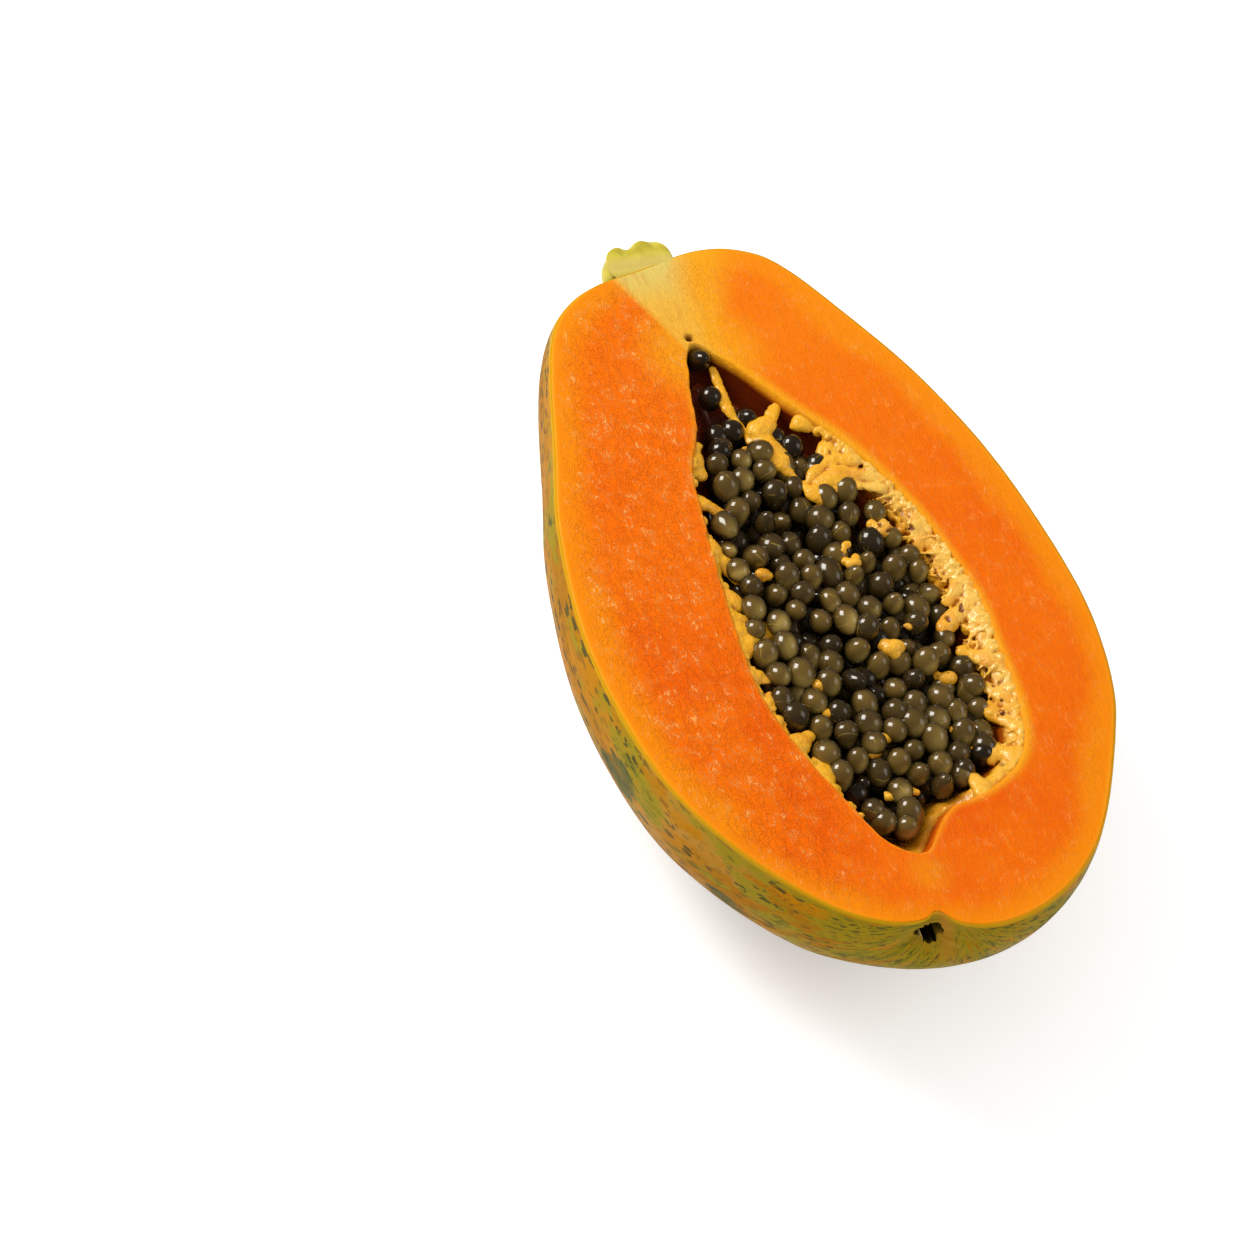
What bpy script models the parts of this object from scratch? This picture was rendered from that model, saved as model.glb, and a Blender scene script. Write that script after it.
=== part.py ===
"""Half a papaya, lying with its cut face up: the fruit's body with its rind, the pulp that lines
the seed hollow, the heap of seeds, and the stub of the stem.

Metres, +Z up. +Y runs from the blossom end to the stem, and the origin is on the ground under
the middle of the box that holds the fruit. Run with: blender --background --python part.py
"""
import math
import random

import bmesh
import bpy
import numpy as np
from mathutils import Matrix, Vector

MM = 0.001
TAU = 2 * math.pi

# The body: a dome of this depth under its widest plane, which the knife passed just above
CUT_ABOVE_WIDEST = 7.0 * MM
BODY_DEPTH = 53.0 * MM
FLAT_SPOT_LOSS = 1.2 * MM
CUT_HEIGHT = BODY_DEPTH + CUT_ABOVE_WIDEST - FLAT_SPOT_LOSS
BODY_CENTRE = (0.0, -6.6)

# The cut face's outline in plan, in millimetres, clockwise from the stem
CUT_OUTLINE = (
    (-8, 100), (7, 100.6), (18, 98.6), (28, 92), (40, 72), (51.5, 48), (60, 18.4), (64.1, -18.5),
    (61.3, -44), (54.3, -62), (40, -85.6), (27, -97.5), (12, -103.9), (-4, -104.5), (-19, -100.3),
    (-34.5, -91), (-50.6, -70.9), (-60.6, -47.5), (-64.1, -12.5), (-59.3, 20.4), (-52, 43.7),
    (-42.7, 72), (-35.5, 85), (-23, 94),
)

# The seed hollow: its mouth in the cut face, and its depth
HOLLOW_CENTRE = (5.0, -20.0)
HOLLOW_DEPTH = 27.0 * MM
HOLLOW_OUTLINE = (
    (-4.5, 70.4), (3.8, 61.3), (11.5, 49), (20.8, 36), (30.5, 16), (36.7, -10.3), (35.9, -31.8),
    (33.7, -49.2), (28.3, -62), (17, -69.2), (5.5, -72), (0.5, -76.5), (-5.5, -82.4), (-13.3, -77.4),
    (-20, -61.3), (-25.2, -45), (-27.4, -30), (-26.3, -13.3), (-23.2, 10), (-19.4, 32), (-14, 43),
    (-11.5, 53), (-8, 65),
)

# Dents at the two ends, where the scar and the stem sit
SCAR_PLACE = (-10.3 * MM, CUT_HEIGHT - 6.5 * MM)
SCAR_DENT = 4.6 * MM
SCAR_SPREAD = 8.0 * MM
SCAR_HOLE_RADIUS = 3.0 * MM
SCAR_HOLE_TAPER = 0.4
SCAR_HOLE_DEPTH = 7.0 * MM
SCAR_HOLE_SIDES = 5
BLOSSOM_END_Y = -104.6 * MM
STEM_PLACE = (-8.7 * MM, CUT_HEIGHT - 1.0 * MM)
STEM_DENT = 3.6 * MM
STEM_SPREAD = 13.0 * MM
END_REGION = 80.0 * MM

# The stub of the stem: a lobed knob, taller at its right, cut through with the fruit
STEM_CENTRE_Y = 99.0 * MM
STEM_RADIUS = 9.2 * MM
STEM_HALF_HEIGHT = 5.7 * MM
STEM_LOBES = 5
STEM_LOBE_RELIEF = 0.09
STEM_SLANT = 0.12

# The pulp lining: thick along the right wall, thin along the left, low at the narrow tip
GAP = 0.4 * MM
PULP_THICK = 2.6 * MM
PULP_BIAS = 0.8
PULP_THIN = 1.2 * MM
PULP_FLOOR = 2.0 * MM
PULP_RIM_DROP = 0.8 * MM
PULP_TIP_DROP = 9.0 * MM
TIP_BEARING = math.radians(-6.0)
TIP_WIDTH = math.radians(17.0)

# The heap of seeds: how far its surface lies under the cut face, and the seeds on it
HEAP_DROP = 3.9 * MM
HEAP_LEAN = 0.055
HEAP_TIP_Y = 34.0 * MM
HEAP_TIP_SLOPE = 0.22
HEAP_TIP_DROP = 3.4 * MM
HEAP_PIT = (4.0 * MM, 18.0 * MM)
HEAP_PIT_DROP = 4.0 * MM
HEAP_PIT_RADIUS = 7.5 * MM
CORE_SINK = 1.9 * MM
SEED_LENGTH = 6.6 * MM
SEED_WIDTH = 5.8 * MM
SEED_SPREAD = 0.09
SEED_WALL_SPACE = 3.6 * MM
SEED_SPACING = 6.5 * MM
SEED_SETTLE = 1.2 * MM
SEED_COUNT = 118
SPARE_DRAWS = 20
SEED_ROUNDS = 60
SEED_PUSH = 0.35
SEED_TOP_Y = 44.0 * MM
SEED_DRAW = 7
# The seeds in the two narrow tips: x, y and drop under the cut face, in millimetres
TIP_SEEDS = (
    (-4.4, 59.6, 6.2), (-7.0, 51.0, 6.4), (3.4, 52.4, 7.4),
    (-5.0, -76.0, 4.8), (-10.5, -71.5, 4.6), (-3.0, -70.0, 4.8),
)

# Pulp that clings between the seeds: routes of x, y and drop in millimetres, and thicknesses
STRANDS = (
    ((-1.2, 57, 6.5), (-0.6, 50, 5.6), (1.6, 43, 5.0), (3.4, 39, 4.6)),
    ((3.4, 39, 4.6), (7, 33.5, 4.4), (11.5, 25.5, 4.6), (15.5, 24.5, 3.8), (19.5, 22, 3.6)),
)
STRAND_RADIUS = 1.2 * MM
BLOBS = (
    (6.0, 34.5, 4.2), (13.5, 26, 4.2), (10.8, -26.5, 4.2), (-9.5, -33, 3.6), (-16, 8.5, 3.4),
    (-20, -13, 3.2), (19, -12, 5.0), (2.5, -2, 4.0), (9, -58, 4.6), (25, -38, 5.0),
)
BLOB_SIZE = (6.5 * MM, 4.4 * MM, 4.2 * MM)
DRAW_IN_STEP = 0.2 * MM
DRAW_IN_LIMIT = 60
LOWEST_DROP = 0.99

# Colour and roughness of each piece
FLESH_LOOK = ((0.93, 0.28, 0.015), 0.35)
PULP_LOOK = ((0.86, 0.50, 0.10), 0.5)
SEEDS_LOOK = ((0.05, 0.045, 0.02), 0.2)
STEM_LOOK = ((0.55, 0.50, 0.12), 0.5)

# How finely the pieces are divided
AROUND = 64
OUTSIDE_RINGS = 16
FACE_RINGS = 2
INSIDE_RINGS = 8
CORE_RINGS = 5
CURVE_STEPS = 12
RAY_STEPS = 200
STEM_AROUND = 20
STEM_RINGS = 10
SEED_AROUND = 6
SEED_RINGS = 4


class Outline:
    """A closed outline in plan: corners in turn, each on its own bearing from one centre."""

    def __init__(self, corners, centre):
        self.corners = corners
        self.centre = centre
        offset = corners - centre
        self.bearings = np.arctan2(offset[:, 0], offset[:, 1])
        self.reaches = np.hypot(offset[:, 0], offset[:, 1])

    def point(self, step, share=1.0):
        """The plan point towards the numbered corner, at this share of the way from the centre."""
        return self.centre + share * (self.corners[step] - self.centre)

    def shares(self, spots):
        """How far out each spot lies, as a share of the outline's reach on its bearing."""
        offset = spots - self.centre
        bearings = np.arctan2(offset[:, 0], offset[:, 1])
        return np.hypot(offset[:, 0], offset[:, 1]) / np.interp(
            bearings, self.bearings, self.reaches, period=TAU
        )

    def distances(self, spots):
        """How far each spot is from the nearest side of the outline."""
        ends = np.roll(self.corners, -1, axis=0)
        side = ends - self.corners
        offset = spots[:, None] - self.corners[None]
        along = np.clip((offset * side).sum(axis=2) / (side**2).sum(axis=1), 0, 1)
        return np.linalg.norm(offset - along[:, :, None] * side[None], axis=2).min(axis=1)

    def inset(self, gap_at):
        """The outline moved inwards, on each bearing by the gap that gap_at gives for it."""
        corners = []
        for step, bearing in enumerate(self.bearings):
            ray = np.array([self.point(step, share) for share in np.linspace(0, 1, RAY_STEPS)])
            corners.append(ray[self.distances(ray) >= gap_at(bearing)][-1])
        return Outline(np.array(corners), self.centre)


def smooth_outline(points, centre):
    """The closed curve through points in millimetres, with corners at even steps, in metres."""
    curve = []
    for i in range(len(points)):
        a, b, c, d = (np.array(points[(i + k - 1) % len(points)]) for k in range(4))
        for t in np.linspace(0, 1, CURVE_STEPS, endpoint=False):
            cubic = 3 * b - a - 3 * c + d
            curve.append(0.5 * (2 * b + (c - a) * t + (2 * a - 5 * b + 4 * c - d) * t**2 + cubic * t**3))
    curve = np.array(curve + curve[:1])
    run = np.concatenate(([0], np.cumsum(np.linalg.norm(np.diff(curve, axis=0), axis=1))))
    steps = np.linspace(0, run[-1], AROUND, endpoint=False)
    corners = np.column_stack([np.interp(steps, run, curve[:, axis]) for axis in (0, 1)])
    return Outline(corners * MM, np.array(centre) * MM)


def smooth_step(value):
    value = min(1.0, max(0.0, value))
    return value * value * (3 - 2 * value)


def new_collection(name):
    collection = bpy.data.collections.new(name)
    bpy.context.scene.collection.children.link(collection)
    return collection


def new_material(name, colour, roughness):
    material = bpy.data.materials.new(name)
    material.use_nodes = True
    shader = material.node_tree.nodes["Principled BSDF"]
    shader.inputs["Base Color"].default_value = (*colour, 1.0)
    shader.inputs["Roughness"].default_value = roughness
    shader.inputs["Metallic"].default_value = 0.0
    return material


def object_from(form, name, collection, material=None):
    """A new object that holds the bmesh, which is freed."""
    mesh = bpy.data.meshes.new(name)
    form.to_mesh(mesh)
    form.free()
    piece = bpy.data.objects.new(name, mesh)
    collection.objects.link(piece)
    if material:
        mesh.materials.append(material)
        mesh.shade_smooth()
    return piece


def ring_form(rings, place):
    """A UV sphere whose every point is moved to place(step, ring), ring 0 being its low pole."""
    form = bmesh.new()
    bmesh.ops.create_uvsphere(form, u_segments=AROUND, v_segments=rings, radius=1.0)
    for vertex in form.verts:
        step = round(math.atan2(vertex.co.x, vertex.co.y) / TAU * AROUND) % AROUND
        height = max(-1.0, min(1.0, vertex.co.z))
        ring = round((0.5 + math.asin(height) / math.pi) * rings)
        vertex.co = place(step, ring)
    return form


def bowl_point(outline, depth, step, lift):
    """A point on a bowl under the outline; lift is an angle, 0 at its rim and -90 degrees below."""
    x, y = outline.point(step, math.cos(lift))
    return Vector((x, y, CUT_HEIGHT + depth * math.sin(lift)))


def end_dents(point):
    """The point moved inwards where the blossom scar and the stem are set into the ends."""
    blossom_end = point.y < 0
    x, z = SCAR_PLACE if blossom_end else STEM_PLACE
    depth, spread = (SCAR_DENT, SCAR_SPREAD) if blossom_end else (-STEM_DENT, STEM_SPREAD)
    away = math.hypot(point.x - x, point.z - z) / spread
    if abs(point.y) > END_REGION:
        point.y += depth * math.exp(-away * away)
    return point


def body_form(cut, mouth):
    """The body as one folded shell: the outside, the flat cut face and the hollow's wall."""
    top = math.asin(CUT_ABOVE_WIDEST / BODY_DEPTH)
    bottom = -math.asin(1 - FLAT_SPOT_LOSS / BODY_DEPTH)
    rim_ring = OUTSIDE_RINGS + FACE_RINGS
    last_ring = rim_ring + INSIDE_RINGS

    def outside(step, ring):
        lift = bottom + (top - bottom) * (ring - 1) / (OUTSIDE_RINGS - 1)
        x, y = cut.point(step, math.cos(lift) / math.cos(top))
        height = CUT_HEIGHT - CUT_ABOVE_WIDEST + BODY_DEPTH * math.sin(lift)
        return end_dents(Vector((x, y, height)))

    def place(step, ring):
        if ring == 0:
            return Vector((*cut.centre, 0.0))
        if ring <= OUTSIDE_RINGS:
            return outside(step, ring)
        if ring < rim_ring:
            share = (ring - OUTSIDE_RINGS) / FACE_RINGS
            return outside(step, OUTSIDE_RINGS).lerp(bowl_point(mouth, HOLLOW_DEPTH, step, 0.0), share)
        lift = -0.5 * math.pi * (ring - rim_ring) / INSIDE_RINGS
        return bowl_point(mouth, HOLLOW_DEPTH, step, lift)

    return ring_form(last_ring, place)


def stem_form(growth):
    """The stem's lobed knob, lying along Y and made larger all round by the growth."""
    form = bmesh.new()
    bmesh.ops.create_uvsphere(form, u_segments=STEM_AROUND, v_segments=STEM_RINGS, radius=1.0)
    bmesh.ops.rotate(form, verts=form.verts, matrix=Matrix.Rotation(-0.5 * math.pi, 3, "X"))
    x, z = STEM_PLACE
    for vertex in form.verts:
        turn = math.atan2(vertex.co.z, vertex.co.x)
        lobe = 1 + STEM_LOBE_RELIEF * math.cos(STEM_LOBES * turn)
        radius = STEM_RADIUS * lobe + growth
        across, up = vertex.co.x * radius, vertex.co.z * radius
        along = vertex.co.y * (STEM_HALF_HEIGHT + growth) + STEM_SLANT * across
        vertex.co = Vector((x + across, STEM_CENTRE_Y + along, z + up))
    return form


def scar_hole_form():
    """The ragged little hole in the middle of the blossom scar, as a tapered cutter along Y."""
    form = bmesh.new()
    bmesh.ops.create_cone(
        form, cap_ends=True, segments=SCAR_HOLE_SIDES, depth=2 * SCAR_HOLE_DEPTH,
        radius1=SCAR_HOLE_RADIUS, radius2=SCAR_HOLE_TAPER * SCAR_HOLE_RADIUS,
    )
    bmesh.ops.rotate(form, verts=form.verts, matrix=Matrix.Rotation(-0.5 * math.pi, 3, "X"))
    middle = (SCAR_PLACE[0], BLOSSOM_END_Y + SCAR_DENT, SCAR_PLACE[1])
    bmesh.ops.translate(form, verts=form.verts, vec=middle)
    return form


def cut_with(piece, form, name, cutters):
    """A Boolean difference on the piece, with the form as a hidden cutter."""
    cutter = object_from(form, name, cutters)
    cutter.hide_render = True
    cutter.display_type = "WIRE"
    modifier = piece.modifiers.new(name, "BOOLEAN")
    modifier.operation = "DIFFERENCE"
    modifier.solver = "EXACT"
    modifier.object = cutter


def make_flesh(cut, mouth, parts, cutters):
    flesh = object_from(body_form(cut, mouth), "flesh", parts, new_material("flesh", *FLESH_LOOK))
    cut_with(flesh, stem_form(GAP), "stem_socket", cutters)
    cut_with(flesh, scar_hole_form(), "scar_hole", cutters)


def make_stem(parts):
    form = stem_form(0.0)
    everything = form.verts[:] + form.edges[:] + form.faces[:]
    cut = bmesh.ops.bisect_plane(
        form, geom=everything, plane_co=(0, 0, CUT_HEIGHT), plane_no=(0, 0, 1), clear_outer=True
    )
    rim = [item for item in cut["geom_cut"] if isinstance(item, bmesh.types.BMEdge)]
    bmesh.ops.contextual_create(form, geom=rim)
    object_from(form, "stem", parts, new_material("stem", *STEM_LOOK))


def pulp_thickness(bearing):
    """Thickness of the lining: most on the right wall, least on the left."""
    return PULP_THIN + (PULP_THICK - PULP_THIN) * smooth_step(0.5 + PULP_BIAS * math.sin(bearing))


def pulp_rim_lift(bearing):
    """Angle on the bowl where the lining ends, lower round the narrow tip."""
    away = abs(math.remainder(bearing - TIP_BEARING, TAU)) / TIP_WIDTH
    drop = PULP_RIM_DROP + (PULP_TIP_DROP - PULP_RIM_DROP) * smooth_step(2 - away)
    return -math.asin(drop / HOLLOW_DEPTH)


def make_pulp(mouth, parts):
    """The lining as one folded shell: its back, its narrow rim and its inner wall."""
    back = mouth.inset(lambda bearing: GAP)
    front = mouth.inset(lambda bearing: GAP + pulp_thickness(bearing))

    def place(step, ring):
        behind = ring <= INSIDE_RINGS
        outline = back if behind else front
        depth = HOLLOW_DEPTH - GAP - (0.0 if behind else PULP_FLOOR)
        from_pole = ring if behind else 2 * INSIDE_RINGS + 1 - ring
        low = -0.5 * math.pi
        lift = low + (pulp_rim_lift(mouth.bearings[step]) - low) * from_pole / INSIDE_RINGS
        return bowl_point(outline, depth, step, lift)

    form = ring_form(2 * INSIDE_RINGS + 1, place)
    object_from(form, "pulp", parts, new_material("pulp", *PULP_LOOK))


def heap_drop(x, y):
    """How far the heap's surface lies under the cut face at a point in plan."""
    drop = HEAP_DROP + HEAP_LEAN * x
    drop += min(HEAP_TIP_DROP, HEAP_TIP_SLOPE * max(0.0, y - HEAP_TIP_Y))
    away = math.hypot(x - HEAP_PIT[0], y - HEAP_PIT[1]) / HEAP_PIT_RADIUS
    return drop + HEAP_PIT_DROP * math.exp(-away * away)


def core_form(room, depth):
    """The heap's core: it fills the lining up to just under the surface of the seeds."""
    def place(step, ring):
        rim_lift = -math.asin((heap_drop(*room.point(step)) + CORE_SINK) / depth)
        if ring <= CORE_RINGS:
            low = -0.5 * math.pi
            return bowl_point(room, depth, step, low + (rim_lift - low) * ring / CORE_RINGS)
        share = (2 * CORE_RINGS - ring) / CORE_RINGS
        x, y = room.point(step, math.cos(rim_lift) * share)
        return Vector((x, y, CUT_HEIGHT - heap_drop(x, y) - CORE_SINK))

    return ring_form(2 * CORE_RINGS, place)


def seed_places(room):
    """Centres of the seeds that show: spots drawn at random, then pushed apart within the room."""
    draw = np.random.default_rng(SEED_DRAW)
    low, high = room.corners.min(axis=0), room.corners.max(axis=0)
    spots = draw.uniform(low, (high[0], SEED_TOP_Y), (SPARE_DRAWS * SEED_COUNT, 2))
    spots = spots[room.shares(spots) < 1][:SEED_COUNT]
    for _ in range(SEED_ROUNDS):
        offset = spots[:, None] - spots[None]
        apart = np.linalg.norm(offset, axis=2)
        np.fill_diagonal(apart, np.inf)
        push = np.clip(SEED_SPACING / apart - 1, 0, 1)
        spots = spots + SEED_PUSH * (offset * push[:, :, None]).sum(axis=1)
        outside = np.clip(room.shares(spots), 1, None)[:, None]
        spots = room.centre + (spots - room.centre) / outside
    settle = draw.uniform(-SEED_SETTLE, SEED_SETTLE, len(spots))
    drops = [heap_drop(x, y) + extra for (x, y), extra in zip(spots, settle)]
    places = [Vector((x, y, CUT_HEIGHT - drop)) for (x, y), drop in zip(spots, drops)]
    return places + [below_cut(*lone) for lone in TIP_SEEDS]


def below_cut(x, y, drop):
    """The point at x, y and drop under the cut face, all in millimetres."""
    return Vector((x * MM, y * MM, CUT_HEIGHT - drop * MM))


def ball_form(size, draw):
    """A sphere drawn out to the size and turned at random, for a seed or a blob of pulp."""
    form = bmesh.new()
    bmesh.ops.create_uvsphere(form, u_segments=SEED_AROUND, v_segments=SEED_RINGS, radius=0.5)
    turn = Matrix.Rotation(draw.uniform(0, math.pi), 3, "X") @ Matrix.Rotation(draw.uniform(0, TAU), 3, "Z")
    bmesh.ops.transform(form, matrix=(turn @ Matrix.Diagonal(size)).to_4x4(), verts=form.verts)
    return form


def draw_in(piece, room, depth):
    """Move a loose piece towards the middle of the room until none of it crosses the room's wall."""
    corners = np.array([vertex.co for vertex in piece.data.vertices])
    for _ in range(DRAW_IN_LIMIT):
        spots = corners + np.array(piece.location)
        drops = np.clip((CUT_HEIGHT - spots[:, 2]) / depth, 0, LOWEST_DROP)
        widened = room.centre + (spots[:, :2] - room.centre) / np.sqrt(1 - drops**2)[:, None]
        if room.shares(widened).max() < 1:
            return
        middle = spots.mean(axis=0)[:2]
        inward = (room.centre - middle) / np.linalg.norm(room.centre - middle)
        piece.location += Vector((*inward, 0)) * DRAW_IN_STEP


def add_seeds(room, loose, draw):
    for place in seed_places(room):
        scale = draw.uniform(1 - SEED_SPREAD, 1 + SEED_SPREAD)
        size = Vector((SEED_WIDTH, SEED_WIDTH, SEED_LENGTH)) * scale
        object_from(ball_form(size, draw), "seed", loose).location = place


def add_strand(route, loose):
    """A thread of pulp: a bevelled curve through the route, made a closed mesh."""
    curve = bpy.data.curves.new("strand", "CURVE")
    curve.dimensions = "3D"
    curve.bevel_depth = STRAND_RADIUS
    curve.bevel_resolution = 1
    curve.use_fill_caps = True
    spline = curve.splines.new("POLY")
    spline.points.add(len(route) - 1)
    for point, stop in zip(spline.points, route):
        point.co = (*below_cut(*stop), 1)
    tube = bpy.data.objects.new("strand_curve", curve)
    loose.objects.link(tube)
    graph = bpy.context.evaluated_depsgraph_get()
    form = bmesh.new()
    form.from_mesh(bpy.data.meshes.new_from_object(tube.evaluated_get(graph)))
    bmesh.ops.remove_doubles(form, verts=form.verts, dist=0.001 * MM)
    object_from(form, "strand", loose)
    bpy.data.objects.remove(tube, do_unlink=True)


def keep_main_body(form):
    """Drop every closed body but the largest: loose scraps, and the walls of sealed hollows."""
    seen, bodies = set(), []
    for start in form.faces:
        if start in seen:
            continue
        body, edge_of_search = [], [start]
        seen.add(start)
        while edge_of_search:
            face = edge_of_search.pop()
            body.append(face)
            for edge in face.edges:
                for other in edge.link_faces:
                    if other not in seen:
                        seen.add(other)
                        edge_of_search.append(other)
        bodies.append(body)
    bodies.sort(key=len)
    scraps = [face for body in bodies[:-1] for face in body]
    bmesh.ops.delete(form, geom=scraps, context="FACES")


def fuse_collection(piece, loose, solver):
    """One Boolean union of the piece with a collection, applied; the collection is then removed."""
    modifier = piece.modifiers.new("fuse", "BOOLEAN")
    modifier.operation = "UNION"
    modifier.operand_type = "COLLECTION"
    modifier.solver = solver
    modifier.collection = loose
    fused = bpy.data.meshes.new_from_object(piece.evaluated_get(bpy.context.evaluated_depsgraph_get()))
    piece.modifiers.clear()
    form = bmesh.new()
    form.from_mesh(fused)
    keep_main_body(form)
    form.to_mesh(piece.data)
    form.free()
    bpy.data.meshes.remove(fused)
    for item in list(loose.objects):
        bpy.data.objects.remove(item, do_unlink=True)
    bpy.data.collections.remove(loose)


def make_seeds(mouth, parts):
    """The heap: a core that fills the lining, with the seeds that show fused on."""
    room = mouth.inset(lambda bearing: 2 * GAP + pulp_thickness(bearing))
    seed_room = mouth.inset(lambda bearing: 2 * GAP + pulp_thickness(bearing) + SEED_WALL_SPACE)
    material = new_material("seeds", *SEEDS_LOOK)
    core_depth = HOLLOW_DEPTH - 2 * GAP - PULP_FLOOR
    heap = object_from(core_form(room, core_depth), "seeds", parts, material)
    loose = new_collection("loose_seeds")
    draw = random.Random(SEED_DRAW)
    add_seeds(seed_room, loose, draw)
    for blob in BLOBS:
        object_from(ball_form(BLOB_SIZE, draw), "blob", loose).location = below_cut(*blob)
    for route in STRANDS:
        add_strand(route, loose)
    for piece in loose.objects:
        draw_in(piece, room, core_depth)
    fuse_collection(heap, loose, "EXACT")
    heap.data.shade_smooth()


def main():
    for item in list(bpy.data.objects):
        bpy.data.objects.remove(item, do_unlink=True)
    parts = new_collection("papaya_half")
    cutters = new_collection("cutters")
    cut = smooth_outline(CUT_OUTLINE, BODY_CENTRE)
    mouth = smooth_outline(HOLLOW_OUTLINE, HOLLOW_CENTRE)
    make_flesh(cut, mouth, parts, cutters)
    make_pulp(mouth, parts)
    make_seeds(mouth, parts)
    make_stem(parts)


main()
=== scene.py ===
"""The looks of half a papaya lying cut side up: flesh, rind, spongy pulp, seeds and stem.

Metres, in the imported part's own frame: +Z up, +Y from the blossom end to the stem, with the
cut face level at CUT_HEIGHT. Shapes repeat the part's named sizes at a finer division, so each
piece lies where its solid does.
"""
import itertools
import logging
import math
import random
from collections.abc import Callable, Sequence
from dataclasses import dataclass, field
from enum import Enum

import bmesh
import bpy
import numpy as np
from mathutils import Matrix, Vector


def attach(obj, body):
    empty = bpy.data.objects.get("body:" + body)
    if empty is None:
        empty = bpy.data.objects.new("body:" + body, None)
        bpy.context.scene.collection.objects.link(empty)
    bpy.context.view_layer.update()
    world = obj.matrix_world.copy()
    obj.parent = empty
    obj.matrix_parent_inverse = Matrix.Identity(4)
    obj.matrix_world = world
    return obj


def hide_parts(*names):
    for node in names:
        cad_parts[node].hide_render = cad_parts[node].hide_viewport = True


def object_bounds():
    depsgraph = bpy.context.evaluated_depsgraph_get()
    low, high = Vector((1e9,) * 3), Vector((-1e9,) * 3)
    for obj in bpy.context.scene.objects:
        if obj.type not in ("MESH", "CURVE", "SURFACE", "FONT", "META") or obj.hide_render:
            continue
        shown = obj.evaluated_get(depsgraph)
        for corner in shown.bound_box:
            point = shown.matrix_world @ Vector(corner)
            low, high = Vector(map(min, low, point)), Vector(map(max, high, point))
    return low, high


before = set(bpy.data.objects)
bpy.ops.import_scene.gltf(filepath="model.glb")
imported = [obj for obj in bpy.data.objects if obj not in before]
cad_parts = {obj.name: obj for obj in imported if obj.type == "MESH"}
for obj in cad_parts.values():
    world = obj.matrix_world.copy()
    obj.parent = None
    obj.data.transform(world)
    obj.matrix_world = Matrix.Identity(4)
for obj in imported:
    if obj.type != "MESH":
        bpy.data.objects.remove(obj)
CAD_BOX = [list(corner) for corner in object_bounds()]

log = logging.getLogger("papaya_half")

Array = np.ndarray
Masks = dict[str, Array]
Socket = bpy.types.NodeSocket
Colour = tuple[float, float, float]
Value = float | Socket
Surface = tuple[Socket, Socket, Socket]

MM = 0.001
TAU = 2 * math.pi

# The part's own sizes
CUT_ABOVE_WIDEST = 7.0 * MM
BODY_DEPTH = 53.0 * MM
FLAT_SPOT_LOSS = 1.2 * MM
CUT_HEIGHT = BODY_DEPTH + CUT_ABOVE_WIDEST - FLAT_SPOT_LOSS
TOP_LIFT = math.asin(CUT_ABOVE_WIDEST / BODY_DEPTH)
BOTTOM_LIFT = -math.asin(1 - FLAT_SPOT_LOSS / BODY_DEPTH)
BODY_CENTRE = (0.0, -6.6)
CUT_OUTLINE = (
    (-8, 100), (7, 100.6), (18, 98.6), (28, 92), (40, 72), (51.5, 48), (60, 18.4), (64.1, -18.5),
    (61.3, -44), (54.3, -62), (40, -85.6), (27, -97.5), (12, -103.9), (-4, -104.5), (-19, -100.3),
    (-34.5, -91), (-50.6, -70.9), (-60.6, -47.5), (-64.1, -12.5), (-59.3, 20.4), (-52, 43.7),
    (-42.7, 72), (-35.5, 85), (-23, 94),
)
HOLLOW_CENTRE = (5.0, -20.0)
HOLLOW_DEPTH = 27.0 * MM
HOLLOW_OUTLINE = (
    (-4.5, 70.4), (3.8, 61.3), (11.5, 49), (20.8, 36), (30.5, 16), (36.7, -10.3), (35.9, -31.8),
    (33.7, -49.2), (28.3, -62), (17, -69.2), (5.5, -72), (0.5, -76.5), (-5.5, -82.4), (-13.3, -77.4),
    (-20, -61.3), (-25.2, -45), (-27.4, -30), (-26.3, -13.3), (-23.2, 10), (-19.4, 32), (-14, 43),
    (-11.5, 53), (-8, 65),
)
AROUND = 64
CURVE_STEPS = 12
RAY_STEPS = 200
CROWDED_STEPS = 4
FINER = 10
SEED_DRAW = 7


def smooth_step(value: Array | float) -> Array | float:
    """An eased ramp from 0 to 1."""
    value = np.clip(value, 0.0, 1.0)
    return value * value * (3 - 2 * value)


def ripple(points: Array, scale: float | tuple[float, float, float], draw: int) -> Array:
    """Smooth random relief.

    Args:
        points: places, one a row, in metres.
        scale: how far apart its hills lie, in metres, in all or along each axis.
        draw: a number that picks one relief among many.

    Returns:
        A value from -1 to 1 for each place.
    """
    cells = points / np.array(scale) + draw * np.array([17.31, 5.77, 11.13])
    base = np.floor(cells).astype(np.int64)
    share = cells - base
    ease = share * share * (3 - 2 * share)
    total = np.zeros(len(points))
    for corner in itertools.product((0, 1), repeat=3):
        key = (base + corner) @ np.array([73856093, 19349663, 83492791])
        key = (key ^ (key >> 13)) * 1274126177
        key = (key ^ (key >> 16)) & 0xFFFFFF
        weight = np.prod(np.where(corner, ease, 1 - ease), axis=1)
        total += weight * (key / 0x7FFFFF - 1)
    return total


def rough(points: Array, scale: float, draw: int, octaves: int = 3) -> Array:
    """Relief of about -1 to 1 with finer and finer hills added to those of the scale, in metres."""
    total = sum(ripple(points, scale / 2**k, draw + 31 * k) / 2**k for k in range(octaves))
    return total / (2 - 0.5 ** (octaves - 1))


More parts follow.
